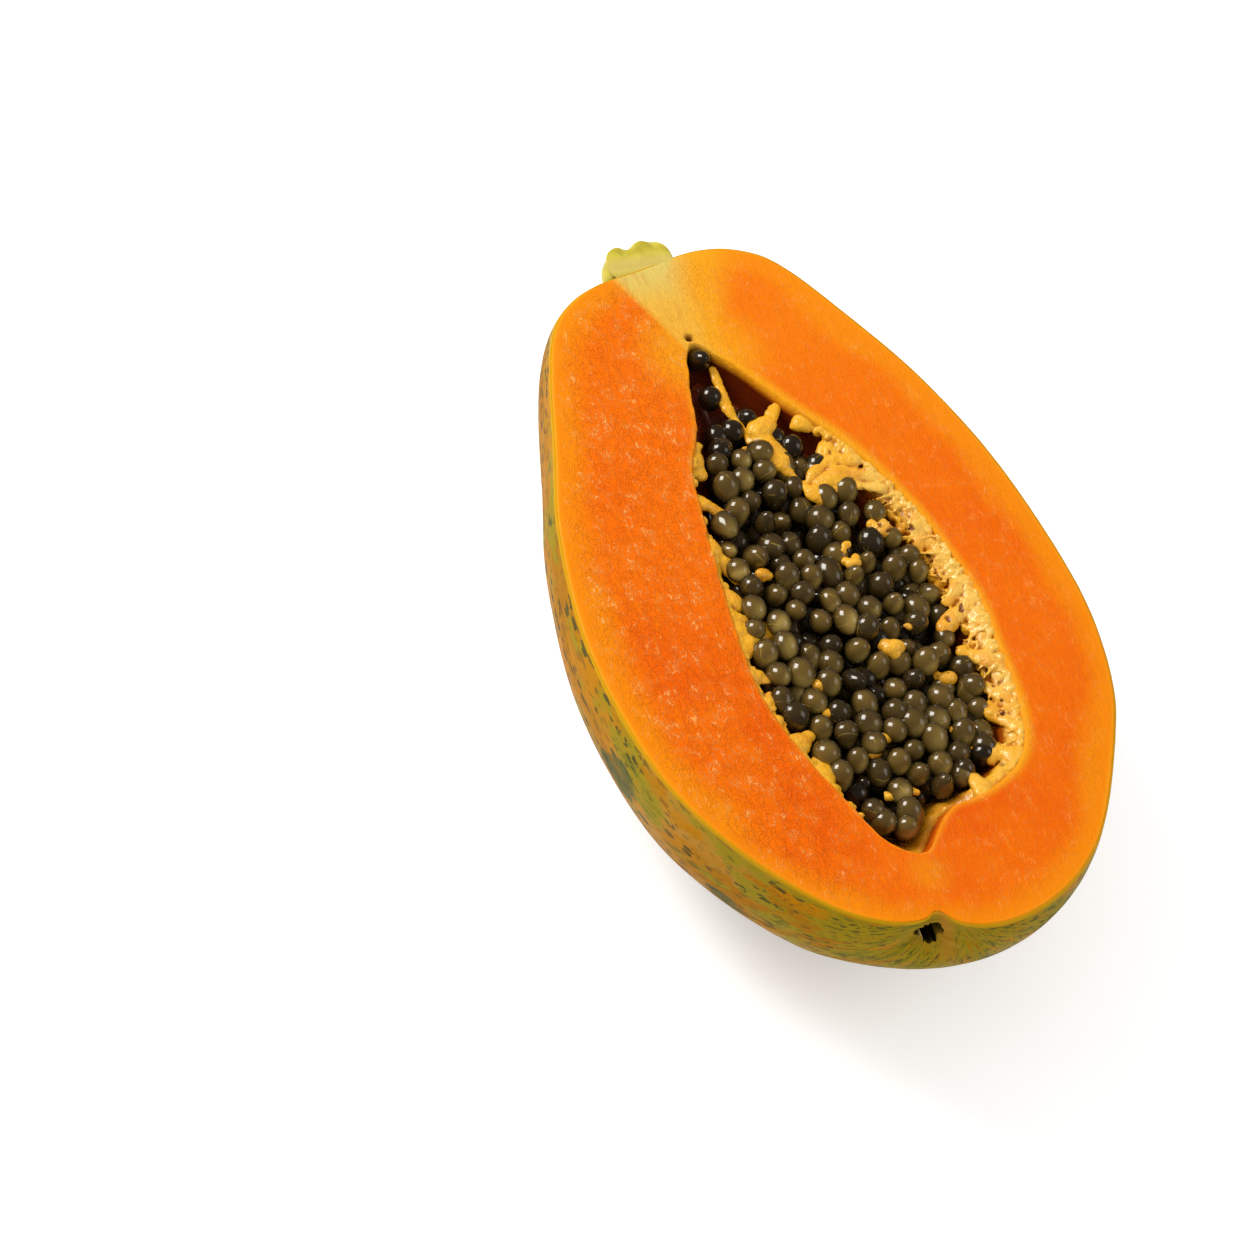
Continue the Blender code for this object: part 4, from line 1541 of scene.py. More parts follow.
@dataclass
class SeedHeap:
    """The heap: the seeds that show, a layer of seeds under them and a core painted dark as the shade beneath
    them.
    """

    form: FruitForm
    drop: float = 3.9 * MM
    lean: float = 0.055
    tip_y: float = 34.0 * MM
    tip_slope: float = 0.22
    tip_drop: float = 3.4 * MM
    pit: tuple[float, float] = (4.0 * MM, 18.0 * MM)
    pit_drop: float = 4.0 * MM
    pit_radius: float = 7.5 * MM
    seed_length: float = 6.6 * MM
    seed_width: float = 5.8 * MM
    seed_spread: float = 0.09
    spacing: float = 6.5 * MM
    settle: float = 1.2 * MM
    count: int = 118
    spare_draws: int = 20
    rounds: int = 60
    push: float = 0.35
    top_y: float = 44.0 * MM
    under_drop: float = 4.6 * MM
    under_spacing: float = 6.0 * MM
    under_count: int = 130
    core_sink: float = 6.2 * MM
    jitter: float = 0.45 * MM
    seam_share: float = 0.35
    size_range: tuple[float, float] = (1.0, 1.21)
    ceiling: float = CAD_BOX[1][2] - 0.06 * MM
    wrinkle: float = 0.035
    tone_mean: float = 0.60
    tone_spread: float = 0.20
    # The side of each seed that gets the painted glow, away from the key light.
    painted_glow_side: tuple[float, float, float] = (0.45, -0.6, -0.35)
    no_seam: float = 2.0
    lining_floor: float = 2 * MM
    free_tip_y: float = 64 * MM
    step_in: float = 0.2 * MM
    most_steps: int = 60
    divisions: int = 3
    under_divisions: int = 2
    under_shade: float = 0.30
    tucked_shade: float = 0.15
    core_relief: float = 0.7 * MM
    core_sides: int = 8
    core_top: int = 24
    tight_room: Outline = field(init=False)
    depth: float = field(init=False)
    tucked_seeds: tuple = (
        (2.4, 58.8, 5.0), (9.0, 49.2, 5.4), (-1.7, 46.6, 5.2), (-9.4, 46.4, 5.2), (11.4, 43.0, 4.4),
        (16.2, 38.4, 4.2), (24.2, -57.2, 4.4), (16.4, -66.0, 4.6), (30.0, 2.5, 4.6), (30.5, -39.5, 4.8),
    )
    lone_seeds: tuple = (
        (-4.4, 59.6, 5.2), (-7.0, 51.0, 6.4), (3.4, 52.4, 7.4),
        (-5.0, -76.0, 4.8), (-10.5, -71.5, 4.6), (-3.0, -70.0, 4.8), (-3.9, 67.0, 1.4),
    )

    def __post_init__(self) -> None:
        """Draws the outline that the seeds stay in, and measures the room's depth."""
        self.tight_room = self.form.room()
        self.depth = HOLLOW_DEPTH - 2 * self.form.gap - self.lining_floor

    def surface_drop(self, plan: Array) -> Array:
        """How far the heap's surface lies under the cut face.

        Args:
            plan: places in plan.

        Returns:
            The drop at each, in metres.
        """
        drop = self.drop + self.lean * plan[:, 0]
        drop = drop + np.clip(self.tip_slope * (plan[:, 1] - self.tip_y), 0, self.tip_drop)
        away = away_from(plan, self.pit, self.pit_radius)
        return drop + self.pit_drop * np.exp(-away * away)

    def spread_out(self, room: Outline, draw: np.random.Generator, count: int, spacing: float) -> Array:
        """Spots drawn at random in the room, then pushed apart within it.

        Args:
            room: the outline that they stay in.
            draw: where the random numbers come from.
            count: how many spots.
            spacing: how far apart they should be.

        Returns:
            The spots in plan.
        """
        low, high = room.corners.min(axis=0), room.corners.max(axis=0)
        spots = draw.uniform(low, (high[0], self.top_y), (self.spare_draws * count, 2))
        spots = spots[room.shares(spots) < 1][:count]
        for _ in range(self.rounds):
            offset = spots[:, None] - spots[None]
            apart = np.linalg.norm(offset, axis=2)
            np.fill_diagonal(apart, np.inf)
            push = np.clip(spacing / apart - 1, 0, 1)
            spots = spots + self.push * (offset * push[:, :, None]).sum(axis=1)
            spots = room.centre + (spots - room.centre) / np.clip(room.shares(spots), 1, None)[:, None]
        return spots

    def layer(self, shift: int, count: int, spacing: float, below: float = 0.0) -> Array:
        """The centres of one layer of seeds, spread over the heap.

        Args:
            shift: what is added to the number that the random draw starts from.
            count: how many seeds.
            spacing: how far apart they should be.
            below: how far under the heap's surface they lie.

        Returns:
            The centres, one a row.
        """
        draw = np.random.default_rng(SEED_DRAW + shift)
        room = self.form.inside_lining(2 * self.form.gap + self.form.seed_wall_space)
        spots = self.spread_out(room, draw, count, spacing)
        drops = self.surface_drop(spots) + below
        drops = drops + draw.uniform(-self.settle, self.settle, len(spots))
        return np.column_stack([spots, CUT_HEIGHT - drops])

    def set_places(self, seeds: tuple) -> Array:
        """The centres of listed seeds, each given in millimetres with its drop under the cut."""
        places = np.array(seeds) * MM
        return np.column_stack([places[:, :2], CUT_HEIGHT - places[:, 2]])

    def joined_seeds(self, name: str, places: Array, divisions: int, shade: float) -> bpy.types.Object:
        """Many seeds as one mesh.

        Args:
            name: the piece's name.
            places: the seeds' centres.
            divisions: how finely each is divided.
            shade: how much darker than the others these are, 0 for not at all.

        Returns:
            The new object.
        """
        ball, faces = ball_mesh(divisions)
        draw = random.Random(SEED_DRAW)
        looks = np.random.default_rng(SEED_DRAW + divisions)
        points, masks = [], {"tone": [], "clear": [], "seam": []}
        for place in places:
            scale = draw.uniform(1 - self.seed_spread, 1 + self.seed_spread)
            tip, roll = draw.uniform(0, math.pi), draw.uniform(0, TAU)
            turn = Matrix.Rotation(tip, 3, "X") @ Matrix.Rotation(roll, 3, "Z")
            scale *= looks.uniform(*self.size_range)
            length = self.seed_length * looks.uniform(0.95, 1.15)
            seed = ball * np.array([self.seed_width, self.seed_width, length]) * scale
            point_end = looks.choice([0.0, 0.0, 0.12, 0.3])
            narrow = 1 - point_end * smooth_step(ball[:, 2] * 1.2 + 0.4)
            seed[:, :2] *= narrow[:, None]
            seed *= 1 + self.wrinkle * ripple(seed + place, 3.5 * MM, 81)[:, None]
            seed = seed @ np.array(turn.transposed())
            moved = place + looks.normal(0, self.jitter, 3)
            points.append(seed + self.kept_inside(seed, moved))
            facing = seed / np.linalg.norm(seed, axis=1)[:, None]
            painted_glow_side = np.array(self.painted_glow_side) + looks.normal(0, 0.25, 3)
            # The tone mixes each seed's own random tone with painted shade for its place and its layer.
            tone = looks.normal(self.tone_mean, self.tone_spread) - self.darkening(place)
            tone = np.clip(tone, 0.0, 1) - shade
            seam = looks.normal(0, 1, 3)
            seam = facing @ (seam / np.linalg.norm(seam)) - looks.uniform(0, 0.5)
            masks["tone"].append(np.full(len(seed), tone))
            # Painted light: each seed's side away from the key light is lit as if light passed through its
            # gel.
            masks["clear"].append(smooth_step(1.5 * facing @ painted_glow_side + 0.05))
            seamed = looks.uniform() < self.seam_share
            masks["seam"].append(seam if seamed else np.full(len(seed), self.no_seam))
        numbers = np.concatenate([faces + k * len(ball) for k in range(len(places))]).tolist()
        joined = {label: np.concatenate(values).astype(float) for label, values in masks.items()}
        return mesh_piece(name, np.vstack(points), numbers, joined)

    def darkening(self, place: Array) -> float:
        """How much darker a seed is for its place: most at the narrow tip, then in the pit and for lying
        deep, which are painted shade, and a little towards the low end and the lower right.

        Args:
            place: the seed's centre.

        Returns:
            What is taken off its tone.
        """
        tip = smooth_step((place[1] - 34 * MM) / (14 * MM))
        end = smooth_step((-52 * MM - place[1]) / (14 * MM))
        low_right = smooth_step((place[0] - 0.25 * place[1] - 26 * MM) / (14 * MM))
        # Painted shade in the pit and on seeds that lie deep under the heap's surface.
        pit = math.exp(-(away_from(place, self.pit, 10 * MM) ** 2))
        deep = smooth_step((CUT_HEIGHT - place[2] - 5.5 * MM) / (4 * MM))
        return 0.9 * tip + 0.12 * end + 0.1 * low_right + 0.3 * pit + 0.15 * deep

    def kept_inside(self, seed: Array, place: Array) -> Array:
        """The seed's place, moved towards the middle until the seed is clear of the lining.

        Args:
            seed: the seed's points about its own centre.
            place: where its centre should be.

        Returns:
            Where its centre is.
        """
        room = self.tight_room
        place = place.copy()
        place[2] -= max(0.0, place[2] + seed[:, 2].max() - self.ceiling)
        if place[1] > self.free_tip_y:
            return place
        for _ in range(self.most_steps):
            spots = seed + place
            drops = np.clip((CUT_HEIGHT - spots[:, 2]) / self.depth, 0, 0.99)
            widened = room.centre + (spots[:, :2] - room.centre) / np.sqrt(1 - drops**2)[:, None]
            if room.shares(widened).max() < 1:
                break
            inward = room.centre - place[:2]
            place[:2] += inward / np.linalg.norm(inward) * self.step_in
        return place

    def core(self) -> bpy.types.Object:
        """The core that fills the lining under the seeds, painted dark as the shade beneath them.

        Returns:
            The new object.
        """
        room = self.tight_room.finer()
        edge = self.surface_drop(room.corners) + self.core_sink
        rim = -np.arcsin(np.clip(edge / self.depth, 0, 0.95))
        low = -0.5 * math.pi
        rings = []
        for k in range(1, self.core_sides + 1):
            rings.append(self.form.bowl(room, self.depth, low + (rim - low) * k / self.core_sides))
        for k in range(1, self.core_top):
            plan = room.at(np.cos(rim) * (1 - k / self.core_top))
            drop = self.surface_drop(plan) + self.core_sink
            ring = np.column_stack([plan, CUT_HEIGHT - drop])
            ring[:, 2] += self.core_relief * rough(ring, 4 * MM, 91)
            rings.append(ring)
        middle = self.surface_drop(room.centre[None])[0] + self.core_sink
        poles = ((*room.centre, CUT_HEIGHT - self.depth), (*room.centre, CUT_HEIGHT - middle))

        def dark(points: Array) -> Masks:
            """The core is painted as dark as the deepest seeds, as shade."""
            none = np.zeros(len(points))
            return {"tone": none - 0.3, "clear": none, "seam": none + self.no_seam}

        return ring_piece("seed_core", rings, poles, dark)

    def build(self, finish: SeedFinish) -> None:
        """Builds the heap and dresses it.

        Args:
            finish: its finish.
        """
        material = finish.material()
        heap = self.layer(0, self.count, self.spacing)
        shown = np.vstack([heap, self.set_places(self.lone_seeds)])
        top = self.joined_seeds("seeds_top", shown, self.divisions, 0.0)
        set_in_frame(top, material, "seeds", "seeds")
        hidden = self.layer(4, self.under_count, self.under_spacing, self.under_drop)
        under = self.joined_seeds("seeds_under", hidden, self.under_divisions, self.under_shade)
        set_in_frame(under, material, "seeds")
        places = self.set_places(self.tucked_seeds)
        tucked = self.joined_seeds("seeds_tucked", places, self.divisions, self.tucked_shade)
        set_in_frame(tucked, material, "seeds")
        set_in_frame(self.core(), material, "seeds")


@dataclass
class PulpThreads:
    """Pulp over the seeds: threads, webs, blobs, tongues from the sides and the right wall's sponge."""

    form: FruitForm
    voxel: float = 0.305 * MM
    tip_net: tuple = (
        ((-0.9, 64, 3.0, 1.0), (-0.9, 58.8, 3.8, 1.1), (-1.2, 53.3, 4.2, 1.5), (-0.5, 48.6, 4.4, 1.1),
         (0.4, 45, 4.4, 0.7), (1.0, 41.5, 4.2, 1.1)),
        ((1.0, 41.5, 4.2, 1.2), (3.5, 41, 3.6, 2.0), (4.0, 38.3, 3.6, 2.5), (5.2, 34.5, 3.6, 2.2),
         (6.3, 31.2, 4.0, 1.1), (7.4, 29, 4.2, 0.6), (9.3, 24.8, 3.8, 1.2), (10.6, 22.6, 3.6, 2.2),
         (11.9, 19.8, 4.3, 0.9)),
        ((2.7, 43.2, 3.2, 1.9), (4.9, 44.2, 3.0, 2.2), (7.6, 46.1, 3.0, 1.7), (9.2, 48.3, 2.9, 1.7),
         (11.3, 50, 2.6, 0.9)),
        ((10.7, 22.9, 3.6, 2.0), (13.6, 22.3, 3.4, 1.3), (16.5, 23.2, 3.0, 1.1), (20.4, 23, 2.4, 1.1),
         (27.4, 19, 1.2, 1.3)),
        ((9.9, 24.1, 3.8, 1.1), (12.8, 24.8, 3.2, 1.6), (16.2, 25.7, 2.8, 2.0), (19.8, 26, 2.4, 2.3),
         (26.5, 23.3, 1.6, 2.0)),
        ((9.7, 25.7, 3.8, 0.7), (11.9, 28.1, 3.2, 1.0), (14.6, 29.7, 2.8, 1.2), (18.4, 30.3, 2.2, 1.7),
         (24, 29.4, 1.4, 1.8)),
        ((17.6, 33, 3.4, 1.6), (19.2, 34.5, 3.0, 2.0), (20, 31.1, 2.4, 1.0)),
        ((13.1, 43.2, 3.2, 1.2), (16.5, 43.5, 2.4, 1.9), (19.6, 41, 1.8, 1.7), (22.5, 35.7, 1.2, 1.2),
         (23.4, 29, 1.3, 1.4)),
        ((-3.9, 38.3, 4.4, 0.6), (-1.2, 39.8, 4.2, 0.6), (0.9, 37.3, 4.2, 0.6), (0.1, 34.4, 4.4, 0.6),
         (-1.4, 31.9, 5.0, 0.6)),
    )
    left_tongues: tuple = (
        (38.5, 5.0, 2.0), (24.5, 8.0, 1.5), (10.3, 9.5, 1.9), (-3.8, 6.5, 1.9), (-8.5, 4.0, 1.1),
        (-13.5, 8.5, 1.7), (-18.0, 9.0, 2.4), (-27.0, 5.5, 1.5), (-36.0, 4.0, 1.4), (-47.8, 5.5, 1.8),
        (-57.0, 6.5, 2.1),
    )
    right_tongues: tuple = (
        (8.0, 6.0, 2.0), (-11.0, 7.0, 1.6), (-16.0, 10.5, 1.8), (-35.0, 9.0, 1.6), (-46.8, 9.5, 1.8),
        (-54.5, 9.0, 1.9), (-61.5, 9.0, 2.5), (-69.5, 5.0, 1.6),
    )
    blobs: tuple = (
        (11.2, -25.6, 4.0, 5.6), (-10.6, -31.8, 4.1, 4.6), (-11.8, -39.5, 4.7, 3.2), (-12.3, 1.6, 4.2, 4.0),
        (-5.2, -7.0, 4.1, 3.4), (11.2, 0.0, 4.0, 4.0), (11.6, 5.6, 3.6, 2.8), (-3.8, -21.0, 4.8, 2.6),
        (17.8, -20, 4.4, 2.4), (8.0, -43.8, 5.0, 3.0), (22.2, -35.5, 5.6, 4.6), (18.8, -50.4, 4.8, 4.0),
        (-0.4, -64.2, 4.9, 2.8), (-5.9, -64.4, 5.2, 2.8), (-0.8, -49, 4.8, 3.0), (-4.8, -52.3, 4.8, 3.4),
        (22.8, 8.6, 4.4, 5.4),
    )
    hollows: tuple = (
        (17.8, 19.5, 1.6), (27.0, 12.5, 1.3), (30.4, 6.7, 1.8), (32.6, 1.5, 1.6), (33.4, -9.5, 1.0),
        (33.8, -27.0, 1.3), (32.6, -38.6, 2.0), (28.4, -52.0, 2.6), (23.4, -53.5, 3.4), (23.6, -57.6, 3.4),
        (16.0, -67.0, 3.0), (31.5, -20.0, 1.1), (29.2, -45.5, 1.2),
    )
    blob_lift: float = 1.3 * MM
    unevenness: float = 0.38
    lumps: int = 430
    strands: int = 330
    strand_step: float = 0.45 * MM
    sponge_from: float = math.radians(12.0)
    sponge_to: float = math.radians(158.0)
    crumbs: int = 330
    tube_steps: int = 12
    tube_wide: float = 1.1
    tube_high: float = 0.62
    pore_depth: float = 0.45 * MM
    headroom: float = 0.02 * MM
    evening_rounds: int = 14
    crevice_depth: float = 0.16 * MM
    soft_share: float = 0.6
    soft_rounds: int = 3
    draw: random.Random = field(init=False)
    balls: list[tuple] = field(init=False)

    def __post_init__(self) -> None:
        """Starts with no balls, and with its own random numbers."""
        self.draw = random.Random(SEED_DRAW)
        self.balls = []

    def ball(self, place: Sequence[float], size: Sequence[float] | float) -> None:
        """Adds a ball of this size, in all or along each axis."""
        self.balls.append((np.array(place), np.broadcast_to(np.array(size, float), 3)))

    def tube(self, route: Sequence[tuple]) -> None:
        """Adds a thread, as overlapping balls along a smooth route.

        Args:
            route: its stops in millimetres, each with x, y, the drop under the cut and the radius.
        """
        stops = np.array(route, float)
        ends = np.vstack([2 * stops[0] - stops[1], stops, 2 * stops[-1] - stops[-2]])
        for k in range(1, len(ends) - 2):
            a, b, c, d = ends[k - 1 : k + 3]
            for t in np.linspace(0, 1, self.tube_steps, endpoint=False):
                square, cubic = 2 * a - 5 * b + 4 * c - d, 3 * b - a - 3 * c + d
                x, y, drop, radius = 0.5 * (2 * b + (c - a) * t + square * t**2 + cubic * t**3)
                wide = 2.2 * radius * MM * self.draw.uniform(0.85, 1.15)
                wide *= 1 + self.unevenness * ripple(np.array([[x, y, 0.0]]) * MM, 2.6 * MM, 13)[0]
                size = (self.tube_wide * wide, self.tube_wide * wide, self.tube_high * wide)
                self.ball((x * MM, y * MM, CUT_HEIGHT - drop * MM), size)

    def blob(self, x: float, y: float, drop: float, size: float) -> None:
        """Adds a torn bit of pulp between the seeds, as one flat ball and three small ones.

        Args:
            x: where it lies across the fruit, in millimetres.
            y: where it lies along the fruit, in millimetres.
            drop: how far it lies under the cut, in millimetres.
            size: about how wide it is, in millimetres.
        """
        place = np.array([x * MM, y * MM, CUT_HEIGHT - drop * MM + self.blob_lift])
        self.ball(place, (1.10 * size * MM, 0.84 * size * MM, 0.68 * size * MM))
        for _ in range(3):
            shift = np.array([self.draw.uniform(-0.52, 0.52), self.draw.uniform(-0.52, 0.52), -0.1])
            self.ball(place + shift * size * MM, self.draw.uniform(0.36, 0.68) * size * MM)

    def edge_at(self, y: float, side: int) -> Array:
        """A point of the hollow's edge.

        Args:
            y: how far along the fruit, in millimetres.
            side: -1 for the left side and 1 for the right.

        Returns:
            The point in plan, in metres.
        """
        corners = self.form.mouth.corners
        here = corners[side * np.sin(self.form.mouth.bearings()) > 0]
        return here[np.abs(here[:, 1] - y * MM).argmin()]

    def tongue(self, y: float, reach: float, radius: float, side: int) -> None:
        """Adds a tongue of pulp that runs from the hollow's edge in over the seeds.

        Args:
            y: where it starts, in millimetres.
            reach: how far in it goes, in millimetres.
            radius: how thick it is at its root, in millimetres.
            side: -1 for the left side and 1 for the right.
        """
        root = self.edge_at(y, side) / MM
        inward = self.form.mouth.centre / MM - root
        inward /= np.linalg.norm(inward)
        inward += np.array([-inward[1], inward[0]]) * self.draw.uniform(-0.5, 0.5)
        route = []
        for share in (-0.05, 0.3, 0.65, 1.0):
            spot = root + inward * reach * share
            spot += np.array([self.draw.uniform(-0.5, 0.5), self.draw.uniform(-0.5, 0.5)]) * (share > 0)
            thick = radius * (1.1 - 0.35 * max(share, 0)) * self.draw.uniform(0.75, 1.25)
            route.append((*spot, 0.3 + 0.8 * thick + 0.30 * reach * max(share, 0), thick))
        self.tube(route)

    def sponge_spot(self) -> tuple:
        """A random place on the sponge's edge.

        Returns:
            The edge's corner, the way in, the way along and how full the sponge is there.
        """
        mouth = self.form.mouth
        bearings = mouth.bearings()
        turn = self.draw.uniform(self.sponge_from, self.sponge_to)
        corner = mouth.corners[np.abs(bearings - turn).argmin()]
        inward = (mouth.centre - corner) / np.linalg.norm(mouth.centre - corner)
        full = smooth_step((turn - self.sponge_from) / 0.45) * smooth_step((self.sponge_to - turn) / 0.5)
        full *= 0.85 + 0.35 * ripple(np.array([[corner[0], corner[1], 0.0]]), 6 * MM, 12)[0]
        return corner, inward, np.array([-inward[1], inward[0]]), full

    def sponge(self) -> None:
        """Adds the sponge of the right wall: a sloping body of lumps with many short strands over it."""
        for _ in range(self.lumps):
            corner, inward, _, full = self.sponge_spot()
            way = self.draw.uniform(-0.4, 5.6) * full * MM
            wide = self.draw.uniform(1.5, 3.2) * MM
            drop = 0.5 * wide + 0.35 * MM + 0.7 * max(way, 0) + self.draw.uniform(0, 0.9) * MM
            size = [wide * self.draw.uniform(0.75, 1.3) for _ in range(3)]
            spot = corner + inward * way
            if self.solid_at(spot):
                self.ball((*spot, CUT_HEIGHT - drop), size)
        for _ in range(self.strands):
            corner, inward, across, full = self.sponge_spot()
            reach = (1.0 + self.draw.random() * 4.2) * (0.35 + 0.65 * full) * MM
            slope = self.draw.uniform(0.45, 0.85)
            sway = self.draw.uniform(-1.8, 1.8)
            start = self.draw.uniform(-0.9, 3.0) * full * MM
            thick = self.draw.uniform(0.8, 1.5) * MM
            for way in np.arange(0, reach, self.strand_step):
                plan = corner + inward * (start + way) + across * way * sway
                wide = thick * (1 - 0.45 * way / reach) * self.draw.uniform(0.85, 1.15)
                drop = 0.5 * wide + 0.10 * MM + 0.62 * max(start, 0) + slope * way
                if self.solid_at(plan, 0.75):
                    self.ball((*plan, CUT_HEIGHT - drop), wide)

    def solid_at(self, spot: Array, share: float = 1.0) -> bool:
        """Whether the spot in plan is clear of the sponge's larger holes, made smaller by the share."""
        return all(math.dist(spot, (x * MM, y * MM)) > share * radius * MM for x, y, radius in self.hollows)

    def crumb(self) -> None:
        """Adds a small torn bit on the hollow's edge, mostly on its left side, never by the tip."""
        mouth = self.form.mouth
        corner = mouth.corners[self.draw.randrange(len(mouth.corners))]
        left = corner[0] < mouth.centre[0]
        size = [self.draw.uniform(*limits) * MM for limits in ((1.3, 3.8), (1.2, 3.2), (0.9, 1.8))]
        inward = (mouth.centre - corner) / np.linalg.norm(mouth.centre - corner)
        reach = self.draw.uniform(-0.6, 1.4) * MM
        drop = 0.5 * size[2] + self.draw.uniform(0.1, 0.9) * MM + max(reach, 0)
        if -70 * MM < corner[1] < 42 * MM and (left or self.draw.random() < 0.4):
            self.ball((*(corner + inward * reach), CUT_HEIGHT - drop), size)

    def melted(self, name: str) -> bpy.types.Object:
        """All the balls flowed together into one smooth skin.

        Args:
            name: the piece's name.

        Returns:
            The new object.
        """
        unit, faces = ball_mesh(2)
        points = np.vstack([place + unit * size for place, size in self.balls])
        numbers = np.concatenate([faces + k * len(unit) for k in range(len(self.balls))])
        loose = mesh_piece(name + "_balls", points, numbers.tolist(), {})
        remesh = loose.modifiers.new("flow", "REMESH")
        remesh.mode = "VOXEL"
        remesh.voxel_size = self.voxel
        soften = loose.modifiers.new("soften", "SMOOTH")
        soften.factor = self.soft_share
        soften.iterations = self.soft_rounds
        evaluated = loose.evaluated_get(bpy.context.evaluated_depsgraph_get())
        flowed = bpy.data.meshes.new_from_object(evaluated)
        bpy.data.objects.remove(loose, do_unlink=True)
        points = np.array([vertex.co for vertex in flowed.vertices])
        normals = np.array([vertex.normal for vertex in flowed.vertices])
        faces = [list(face.vertices) for face in flowed.polygons]
        bpy.data.meshes.remove(flowed)
        right = smooth_step((points[:, 0] - 12 * MM) / (10 * MM))
        pores = smooth_step((ripple(points, (1.3 * MM, 1.6 * MM, 1.1 * MM), 71) - 0.45) / 0.25)
        pores *= right * smooth_step((CUT_HEIGHT - points[:, 2] - 0.8 * MM) / (0.8 * MM))
        relief = 0.17 * rough(points, 1.4 * MM, 95) + 0.32 * rough(points, 3.4 * MM, 94, 2)
        points += normals * (relief * MM - self.pore_depth * pores)[:, None]
        points[:, 2] = np.minimum(points[:, 2], CUT_HEIGHT - self.headroom)
        return mesh_piece(name, points, faces, self.masks(points, normals, faces, pores * right))

    def masks(self, points: Array, normals: Array, faces: list, pores: Array) -> Masks:
        """The masks that the pulp's finish reads.

        Args:
            points: the skin's points.
            normals: the way that it faces at each.
            faces: its faces.
            pores: a mask of its small holes.

        Returns:
            The masks by name.
        """
        quads = np.array([face if len(face) == 4 else [*face, face[-1]] for face in faces])
        starts, ends = quads.ravel(), np.roll(quads, -1, axis=1).ravel()
        count = np.bincount(starts, minlength=len(points)) + np.bincount(ends, minlength=len(points))
        even = points.copy()
        for _ in range(self.evening_rounds):
            total = []
            for axis in range(3):
                forward = np.bincount(starts, even[ends, axis], len(points))
                total.append(forward + np.bincount(ends, even[starts, axis], len(points)))
            even = np.column_stack(total) / np.maximum(count, 1)[:, None]
        hollow = ((even - points) * normals).sum(axis=1)
        drop = (CUT_HEIGHT - points[:, 2]) / MM
        wander = rough(points, 5 * MM, 96)
        right = smooth_step((points[:, 0] - 0.1 * points[:, 1] - 15 * MM) / (10 * MM))
        low = smooth_step((-38 * MM - points[:, 1]) / (14 * MM))
        cream = (0.15 + 0.85 * right) * (1 - 0.6 * low) * smooth_step(1.5 - drop / 2.6) + 0.25 * wander
        # Painted shade: darker in the crevices of the flowed skin and further under the cut.
        crevice = smooth_step(hollow / self.crevice_depth - 0.2)
        painted_recess_shade = 0.7 * crevice + smooth_step((drop - 3.6) / 3.5)
        # The pit mask paints the pores dark as shade.
        return {"cream": np.clip(cream, 0, 1), "painted_recess_shade": np.clip(painted_recess_shade, 0, 1), "pit": np.clip(0.8 * pores, 0, 1)}

    def build(self, finish: PulpFinish) -> None:
        """Builds the threads, blobs, tongues and sponge and dresses them.

        Args:
            finish: their finish.
        """
        for route in self.tip_net:
            self.tube(route)
        for side, tongues in ((-1, self.left_tongues), (1, self.right_tongues)):
            for tongue in tongues:
                self.tongue(*tongue, side)
        for blob in self.blobs:
            self.blob(*blob)
        self.sponge()
        for _ in range(self.crumbs):
            self.crumb()
        set_in_frame(self.melted("pulp_threads"), finish.material(), "pulp")


